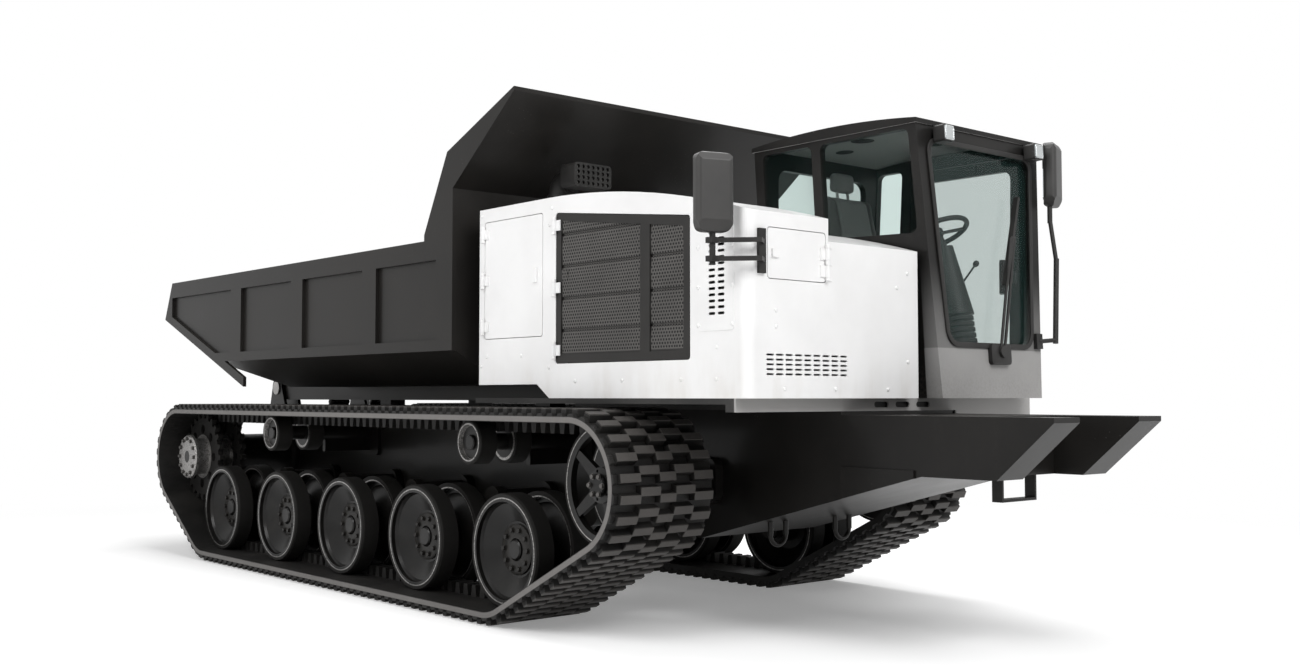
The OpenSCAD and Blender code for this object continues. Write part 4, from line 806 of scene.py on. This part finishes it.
def wheel_hubs():
    """Bolted hub flange on every road wheel's dish."""
    dish_face, flange_radius, flange_depth = 1.236, 0.150, 0.010
    rim, rim_rise, flat = 0.012, 0.006, 0.070
    bolt_circle, bolt_count, bolt_seat = 0.118, 10, 0.015
    for side, sign in sides:
        for i, (cx, cz) in enumerate(wheel_centres):
            ring = add(
                "cylinder",
                vertices=40,
                radius=flange_radius,
                depth=flange_depth,
                location=(0, 0, flange_depth / 2),
            )
            pick(ring, lambda c, n: n.z > 0.9)
            bpy.ops.mesh.inset(thickness=rim)
            bpy.ops.transform.translate(value=(0, 0, rim_rise))
            bpy.ops.mesh.inset(thickness=flat)
            bpy.ops.mesh.delete(type="FACE")
            leave()
            pick(ring, lambda c, n: n.z < -0.9)
            bpy.ops.mesh.delete(type="FACE")
            leave()
            bolt = hex_bolt(0.014, 0.016)
            turns = [
                facing((bolt_circle * math.cos(a), bolt_circle * math.sin(a), bolt_seat), (0, 0, 1), a)
                for a in round_the_circle(bolt_count)
            ]
            bolts = copies(bolt, turns)
            drop(bolt)
            choose(ring, bolts)
            bpy.ops.object.join()
            ring.data.transform(facing((cx, sign * dish_face, cz), (0, sign, 0)))
            wheel = f"{side}_{i + 1}"
            settle(ring, f"hub_flange_{wheel}", f"road_wheel_{wheel}", hub_enamel_painted_shade)


def drive_covers():
    """Bolt circles on the sprocket covers and the idler hubs."""
    for side, sign in sides:
        for body, (cx, cz), face, radius, count in (
            (f"sprocket_{side}", sprocket_centre, 1.399, 0.150, 12),
            (f"idler_{side}", idler_centre, 1.305, 0.055, 6),
        ):
            bolt = hex_bolt(0.013, 0.015)
            turns = []
            for a in round_the_circle(count):
                place = (cx + radius * math.cos(a), sign * face, cz + radius * math.sin(a))
                turns.append(facing(place, (0, sign, 0), a))
            ring = copies(bolt, turns)
            drop(bolt)
            settle(ring, f"cover_bolts_{body}", body, dark_steel)


def hood_fixings():
    """Button head bolts along the hood's lower edges, its front and the vent panel."""
    bolt = dome_bolt(0.011, 0.007)
    spots = [((x, hood_side, z), (0, -1, 0)) for x, z in (
        (0.760, 1.555), (1.120, 1.555), (1.420, 2.395), (1.640, 1.400), (2.050, 1.400), (2.520, 1.400),
        (2.780, 1.400), (2.780, 1.560), (0.700, 1.500), (0.700, 2.420), (1.395, 1.480), (1.395, 2.300),
    )]
    spots += [((hood_front, y, z), (1, 0, 0)) for y, z in (
        (-1.000, 1.352), (-0.620, 1.352), (-0.200, 1.352), (-1.060, 1.660), (-1.060, 1.740), (-0.120, 1.900),
        (-0.030, 1.500), (-0.030, 1.980),
    )]
    vent_face = hood_side - 0.004
    spots += [((x, vent_face, z), (0, -1, 0)) for x in (2.653, 2.895) for z in (1.670, 1.860, 2.060)]
    piece = copies(bolt, [facing(p, d) for p, d in spots])
    drop(bolt)
    settle(piece, "hood_bolts", "chassis", white)


def lamp_lenses():
    """Glass with a raised rim in front of each work light."""
    edge, depth, lamp_z, lamp_out = 0.082, 0.0082, 2.770, 0.092
    for name, y in (("right", 0.231), ("left", 1.109)):
        lens = add_sized("cube", edge, edge, depth)
        pick_edges(lens, lambda a, b: abs(a.z - b.z) > 0.004)
        bpy.ops.mesh.bevel(offset=0.012, segments=4)
        leave()
        pick(lens, lambda c, n: n.z > 0.9)
        bpy.ops.mesh.inset(thickness=0.008)
        bpy.ops.transform.translate(value=(0, 0, 0.004))
        bpy.ops.mesh.inset(thickness=0.003)
        bpy.ops.transform.translate(value=(0, 0, -0.003))
        leave()
        place, away = front_of_cab(lamp_z, lamp_out)
        place.y = y
        lens.data.transform(facing(place, away))
        settle(lens, f"lamp_lens_{name}", "chassis", lens_glass)


def mirror_glasses():
    """Silvered glass on the rear face of each mirror head."""
    wide, tall, thick, behind = 0.162, 0.320, 0.004, -0.031
    for side, post, out, angle in (
        ("right", (2.890, -1.385, 2.301), 0.0, -18.0),
        ("left", (3.055, 1.279, 2.660), 0.045, 20.0),
    ):
        glass = add_sized("cube", wide, tall, thick)
        pick_edges(glass, lambda a, b: abs(a.z - b.z) > 0.002)
        bpy.ops.mesh.bevel(offset=0.030, segments=6)
        leave()
        pick(glass, lambda c, n: n.z > 0.9)
        bpy.ops.mesh.inset(thickness=0.005)
        bpy.ops.transform.translate(value=(0, 0, 0.0015))
        leave()
        upright = Matrix(((0, 0, -1), (-1, 0, 0), (0, 1, 0))).to_4x4()
        turned = Matrix.Translation(post) @ Matrix.Rotation(math.radians(angle), 4, "Z")
        glass.data.transform(turned @ Matrix.Translation((behind, out, 0.0)) @ upright)
        settle(glass, f"mirror_glass_{side}", f"mirror_{side}", silver)


def front_of_cab(z, out):
    """A place on the leaning front of the cab, in its middle, and the way that front faces."""
    away = Vector((math.cos(cab_lean), 0, math.sin(cab_lean)))
    face = Vector((cab_front - cab_setback * (z - cab_foot) / cab_height, cab_middle, z))
    return face + away * out, away


def set_on_front(piece, place, away):
    """Sets a piece made in XY on the cab's front, its X along the machine's Y."""
    across = Vector((0, 1, 0))
    turn = Matrix((across, away.cross(across), away)).transposed().to_4x4()
    piece.data.transform(Matrix.Translation(place) @ turn)


def windscreen_seal():
    """Rubber lip round the windscreen: a tapered plane, cut to a ring and thickened."""
    low, high, foot, head = 0.403, 0.499, 1.600, 2.744
    lip, wide, corner, thick = 0.012, 0.030, 0.096, 0.012
    slope = (head - foot) / math.cos(cab_lean)
    seal = add_sized("plane", 2 * (low + lip), slope + 2 * lip, 1.0)
    pick_edges(seal, lambda a, b: a.y > 0 and b.y > 0)
    bpy.ops.transform.resize(value=((high + lip) / (low + lip), 1.0, 1.0))
    bpy.ops.mesh.select_all(action="SELECT")
    bpy.ops.mesh.bevel(offset=corner, segments=10, affect="VERTICES")
    bpy.ops.mesh.select_all(action="SELECT")
    bpy.ops.mesh.inset(thickness=wide)
    bpy.ops.mesh.delete(type="FACE")
    bpy.ops.mesh.select_all(action="SELECT")
    raise_faces((0, 0, thick))
    bpy.ops.mesh.select_all(action="SELECT")
    bpy.ops.mesh.normals_make_consistent(inside=False)
    leave()
    modify(seal, "BEVEL", width=0.004, segments=3, limit_method="ANGLE", angle_limit=math.radians(40))
    middle, away = front_of_cab((foot + head) / 2, 0.0005)
    set_on_front(seal, middle, away)
    settle(seal, "windscreen_seal", "chassis", plastic)


def wiper_motor_cover():
    """Cast cover under the windscreen that the wiper's shaft comes through."""
    wiper_y, shaft_hole, shaft_above = 0.700, 0.037, 0.015
    cover = add_sized("cube", 0.190, 0.120, 0.026)
    pick_edges(cover, lambda a, b: abs(a.z - b.z) > 0.02)
    bpy.ops.mesh.bevel(offset=0.022, segments=4)
    leave()
    pick(cover, lambda c, n: n.z > 0.9)
    bpy.ops.mesh.inset(thickness=0.010)
    bpy.ops.transform.translate(value=(0, 0, 0.006))
    leave()
    drill = add("cylinder", vertices=48, radius=shaft_hole, depth=0.2, location=(0, shaft_above, 0))
    modify(cover, "BOOLEAN", object=drill, operation="DIFFERENCE", solver="EXACT")
    drop(drill)
    middle, away = front_of_cab(1.555, 0.0135)
    middle.y = wiper_y
    set_on_front(cover, middle, away)
    settle(cover, "wiper_motor_cover", "chassis", plastic)


def cab_monitor():
    """Screen on a bracket inside the left front post, turned to the driver."""
    screen = add_sized("cube", 0.036, 0.150, 0.200)
    pick_edges(screen, lambda a, b: True)
    bpy.ops.mesh.bevel(offset=0.008, segments=3)
    leave()
    pick(screen, lambda c, n: n.x < -0.99)
    bpy.ops.mesh.inset(thickness=0.012)
    bpy.ops.transform.translate(value=(0.003, 0, 0))
    leave()
    pick(screen, lambda c, n: n.x > 0.99)
    bpy.ops.mesh.inset(thickness=0.045)
    raise_faces((0.014, 0, 0))
    bpy.ops.mesh.inset(thickness=0.012)
    raise_faces((0.050, 0, 0))
    leave()
    turned = Matrix.Rotation(math.radians(35.0), 4, "Z")
    screen.data.transform(Matrix.Translation((2.890, 1.020, 2.030)) @ turned)
    settle(screen, "cab_monitor", "chassis", plastic)


def column_stalk():
    """Small lever beside the steering column, with a rounded knob."""
    stalk = add("cylinder", vertices=20, radius=0.006, depth=0.190, location=(0, 0, 0.095))
    pick(stalk, lambda c, n: n.z > 0.9)
    for grow, rise in ((2.2, 0.006), (1.35, 0.010), (1.0, 0.012), (0.75, 0.009), (0.45, 0.005)):
        raise_faces((0, 0, rise))
        bpy.ops.transform.resize(value=(grow, grow, 1.0))
    leave()
    stalk.data.transform(facing((2.812, 0.690, 1.950), (0.02, 0.13, 0.14)))
    settle(stalk, "column_stalk", "chassis", plastic, 60.0)


def soften(piece, swell):
    """Cloth under air pressure, held to a small movement, then applied to the mesh."""
    voxel, air_pressure, last_frame = 0.009, 4.0, 20
    modify(piece, "REMESH", mode="VOXEL", voxel_size=voxel)
    before = [v.co.copy() for v in piece.data.vertices]
    choose(piece)
    cloth = piece.modifiers.new("cloth", "CLOTH")
    cloth.settings.use_pressure = True
    cloth.settings.uniform_pressure_force = air_pressure
    cloth.settings.effector_weights.gravity = 0.0
    cloth.settings.quality = 6
    cloth.point_cache.frame_start = 1
    cloth.point_cache.frame_end = last_frame
    for at in range(1, last_frame + 1):
        bpy.context.scene.frame_set(at)
    bpy.ops.object.modifier_apply(modifier=cloth.name)
    bpy.context.scene.frame_set(1)
    for vertex, old in zip(piece.data.vertices, before):
        move = vertex.co - old
        if move.length > swell:
            vertex.co = old + move * (swell / move.length)
    modify(piece, "SMOOTH", iterations=3, factor=0.5)


def pad(profile, half_width, waist):
    """Closed pad from a side profile of (x, z) points, pulled in at its sides."""
    mesh = bpy.data.meshes.new("pad")
    count = len(profile)
    points = [(x, y, z) for y in (-half_width, half_width) for x, z in profile]
    faces = [tuple(range(count)), tuple(range(2 * count - 1, count - 1, -1))]
    faces += [(i, i + count, (i + 1) % count + count, (i + 1) % count) for i in range(count)]
    mesh.from_pydata(points, [], faces)
    piece = bpy.data.objects.new("pad", mesh)
    bpy.context.collection.objects.link(piece)
    choose(piece)
    bpy.ops.object.mode_set(mode="EDIT")
    bpy.ops.mesh.select_all(action="SELECT")
    bpy.ops.mesh.normals_make_consistent(inside=False)
    leave()
    modify(piece, "BEVEL", width=waist, segments=4, limit_method="ANGLE", angle_limit=math.radians(25))
    return piece


def channel(piece, test, depth):
    """Presses a sewn channel into the pad where the test gives a weight above 0."""
    for vertex in piece.data.vertices:
        weight = test(vertex.co)
        if weight > 0:
            vertex.co -= vertex.normal * depth * weight


def bell(value, width):
    """1 at 0, falling to 0 at the width."""
    return max(0.0, 1.0 - abs(value) / width) ** 2


def driver_seat():
    """Cushion, back and headrest as soft pads, and the headrest's two posts."""
    cx, cy, cz = 2.240, cab_middle, 1.980
    seam_y, seam_w, seam_d = 0.145, 0.016, 0.012
    cross_w, cross_d = 0.014, 0.008
    cushion = [
        (-0.225, -0.036), (0.255, -0.036), (0.275, 0.045),
        (0.10, 0.070), (-0.10, 0.064), (-0.232, 0.046),
    ]
    back = [
        (-0.244, 0.075), (-0.150, 0.075), (-0.140, 0.200),
        (-0.156, 0.330), (-0.218, 0.598), (-0.320, 0.598),
    ]
    headrest = [(-0.316, 0.630), (-0.246, 0.630), (-0.251, 0.752), (-0.309, 0.752)]
    forms = (
        ("seat_cushion", cushion, 0.238, 0.034, 0.012),
        ("seat_back", back, 0.232, 0.036, 0.012),
        ("seat_headrest", headrest, 0.096, 0.026, 0.008),
    )

    def long_seams(p):
        return bell(abs(p.y - cy) - seam_y, seam_w)

    def cross_seam(p, off):
        return bell(off, cross_w) * (abs(p.y - cy) < seam_y)

    for name, profile, half, edge, swell in forms:
        piece = pad([(cx + x, cz + z) for x, z in profile], half, edge)
        for vertex in piece.data.vertices:
            vertex.co.y += cy
        soften(piece, swell)
        if name == "seat_cushion":
            channel(piece, lambda p: long_seams(p) * (p.z > cz + 0.02), seam_d)
            channel(piece, lambda p: cross_seam(p, p.x - cx - 0.03) * (p.z > cz + 0.02), cross_d)
        if name == "seat_back":
            channel(piece, lambda p: long_seams(p) * (p.x > cx - 0.24 + (cz + 0.3 - p.z) * 0.25), seam_d)
            channel(piece, lambda p: cross_seam(p, p.z - cz - 0.34) * (p.x > cx - 0.2), cross_d)
        modify(piece, "SUBSURF", levels=1, render_levels=1)
        settle(piece, name, "seat", dressing["seat"], 80.0)
        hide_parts("seat")
    posts = []
    for y in (-0.050, 0.050):
        post = add("cylinder", vertices=20, radius=0.009, depth=0.090, location=(0, 0, 0))
        pick(post, lambda c, n: abs(n.z) > 0.9)
        bpy.ops.mesh.inset(thickness=0.002)
        leave()
        lean = Vector((-0.013, 0, 0.100))
        post.data.transform(facing(Vector((cx - 0.277, cy + y, cz + 0.620)), lean))
        posts.append(post)
    choose(*posts)
    bpy.ops.object.join()
    settle(posts[0], "headrest_posts", "seat", steel)
    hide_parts("seat")


# Hub flanges get dark paint darkened further still: painted shade, so the wheel's dish reads deep.
hub_enamel_painted_shade = charcoal_enamel("hub_enamel_painted_shade", 0.006, 0.1, 0.15)
lens_glass = lamp_lens()
silver = mirror_silver()
wheel_hubs()
drive_covers()
hood_fixings()
lamp_lenses()
mirror_glasses()
windscreen_seal()
wiper_motor_cover()
cab_monitor()
column_stalk()
driver_seat()


# Stage: pale floor, white surroundings, three soft lamps and the photograph's camera

def make_floor():
    """Matt floor under the machine that fades into plain white farther out."""
    f = Finish("pale_floor")
    far = reach(f.x + 0.5, f.y).step(4.6, 9.0)
    path = f.node("ShaderNodeLightPath", {}, {}).out.node
    seen = Sock(f, path.outputs["Is Camera Ray"]).larger(Sock(f, path.outputs["Is Glossy Ray"]))
    seen = seen.larger(Sock(f, path.outputs["Is Transmission Ray"]))
    matt = f.node("ShaderNodeBsdfDiffuse", {}, {"Color": grey(0.90)})
    lift = f.node("ShaderNodeEmission", {}, {"Color": grey(1.0), "Strength": seen * 0.24})
    near = f.node("ShaderNodeAddShader", {}, {0: matt, 1: lift})
    glow = f.node("ShaderNodeEmission", {}, {"Color": grey(1.0), "Strength": 1.0})
    bpy.ops.mesh.primitive_plane_add(size=60.0, location=(0.0, 0.0, -0.002))
    floor = bpy.context.object
    floor.name = "studio_floor"
    bpy.ops.object.transform_apply()
    dress(floor, f.show(f.node("ShaderNodeMixShader", {}, {0: far * seen, 1: near, 2: glow})))


def make_surroundings():
    """White to the camera and in reflections, dimmer as a light."""
    world = bpy.data.worlds.new("studio_white")
    bpy.context.scene.world = world
    world.use_nodes = True
    tree = world.node_tree
    tree.nodes.clear()
    path = tree.nodes.new("ShaderNodeLightPath")
    first = tree.nodes.new("ShaderNodeMath")
    first.operation = "MAXIMUM"
    second = tree.nodes.new("ShaderNodeMath")
    second.operation = "MAXIMUM"
    level = tree.nodes.new("ShaderNodeMapRange")
    level.inputs["To Min"].default_value = 0.38
    level.inputs["To Max"].default_value = 1.0
    back = tree.nodes.new("ShaderNodeBackground")
    back.inputs["Color"].default_value = grey(1.0)
    out = tree.nodes.new("ShaderNodeOutputWorld")
    tree.links.new(path.outputs["Is Camera Ray"], first.inputs[0])
    tree.links.new(path.outputs["Is Glossy Ray"], first.inputs[1])
    tree.links.new(first.outputs[0], second.inputs[0])
    tree.links.new(path.outputs["Is Transmission Ray"], second.inputs[1])
    tree.links.new(second.outputs[0], level.inputs["Value"])
    tree.links.new(level.outputs[0], back.inputs["Strength"])
    tree.links.new(back.outputs[0], out.inputs["Surface"])


def make_lamp(name, place, target, size, watts):
    """Round soft lamp at a place, aimed at a target."""
    data = bpy.data.lights.new(name, "AREA")
    data.shape = "DISK"
    data.size = size
    data.energy = watts
    lamp = bpy.data.objects.new(name, data)
    bpy.context.collection.objects.link(lamp)
    lamp.location = place
    lamp.rotation_euler = (Vector(target) - Vector(place)).to_track_quat("-Z", "Y").to_euler()


def make_camera():
    """Camera fitted to the photograph."""
    data = bpy.data.cameras.new("photo_camera")
    data.lens = 36.84
    data.sensor_width = 36.0
    camera = bpy.data.objects.new("photo_camera", data)
    bpy.context.collection.objects.link(camera)
    camera.location = (7.535, -5.805, 1.315)
    camera.rotation_euler = Vector((-0.7553, 0.6538, 0.0461)).to_track_quat("-Z", "Y").to_euler()
    bpy.context.scene.camera = camera


bpy.context.scene.view_settings.view_transform = "Standard"
make_floor()
make_surroundings()
make_lamp("key", (2.0, -9.0, 8.0), (-0.5, 0.0, 1.2), 6.0, 520.0)
make_lamp("front", (10.0, -1.5, 8.0), (1.8, -0.2, 1.6), 5.0, 590.0)
make_lamp("overhead", (-1.0, 1.0, 9.0), (-0.8, 0.0, 1.0), 7.0, 700.0)
make_camera()
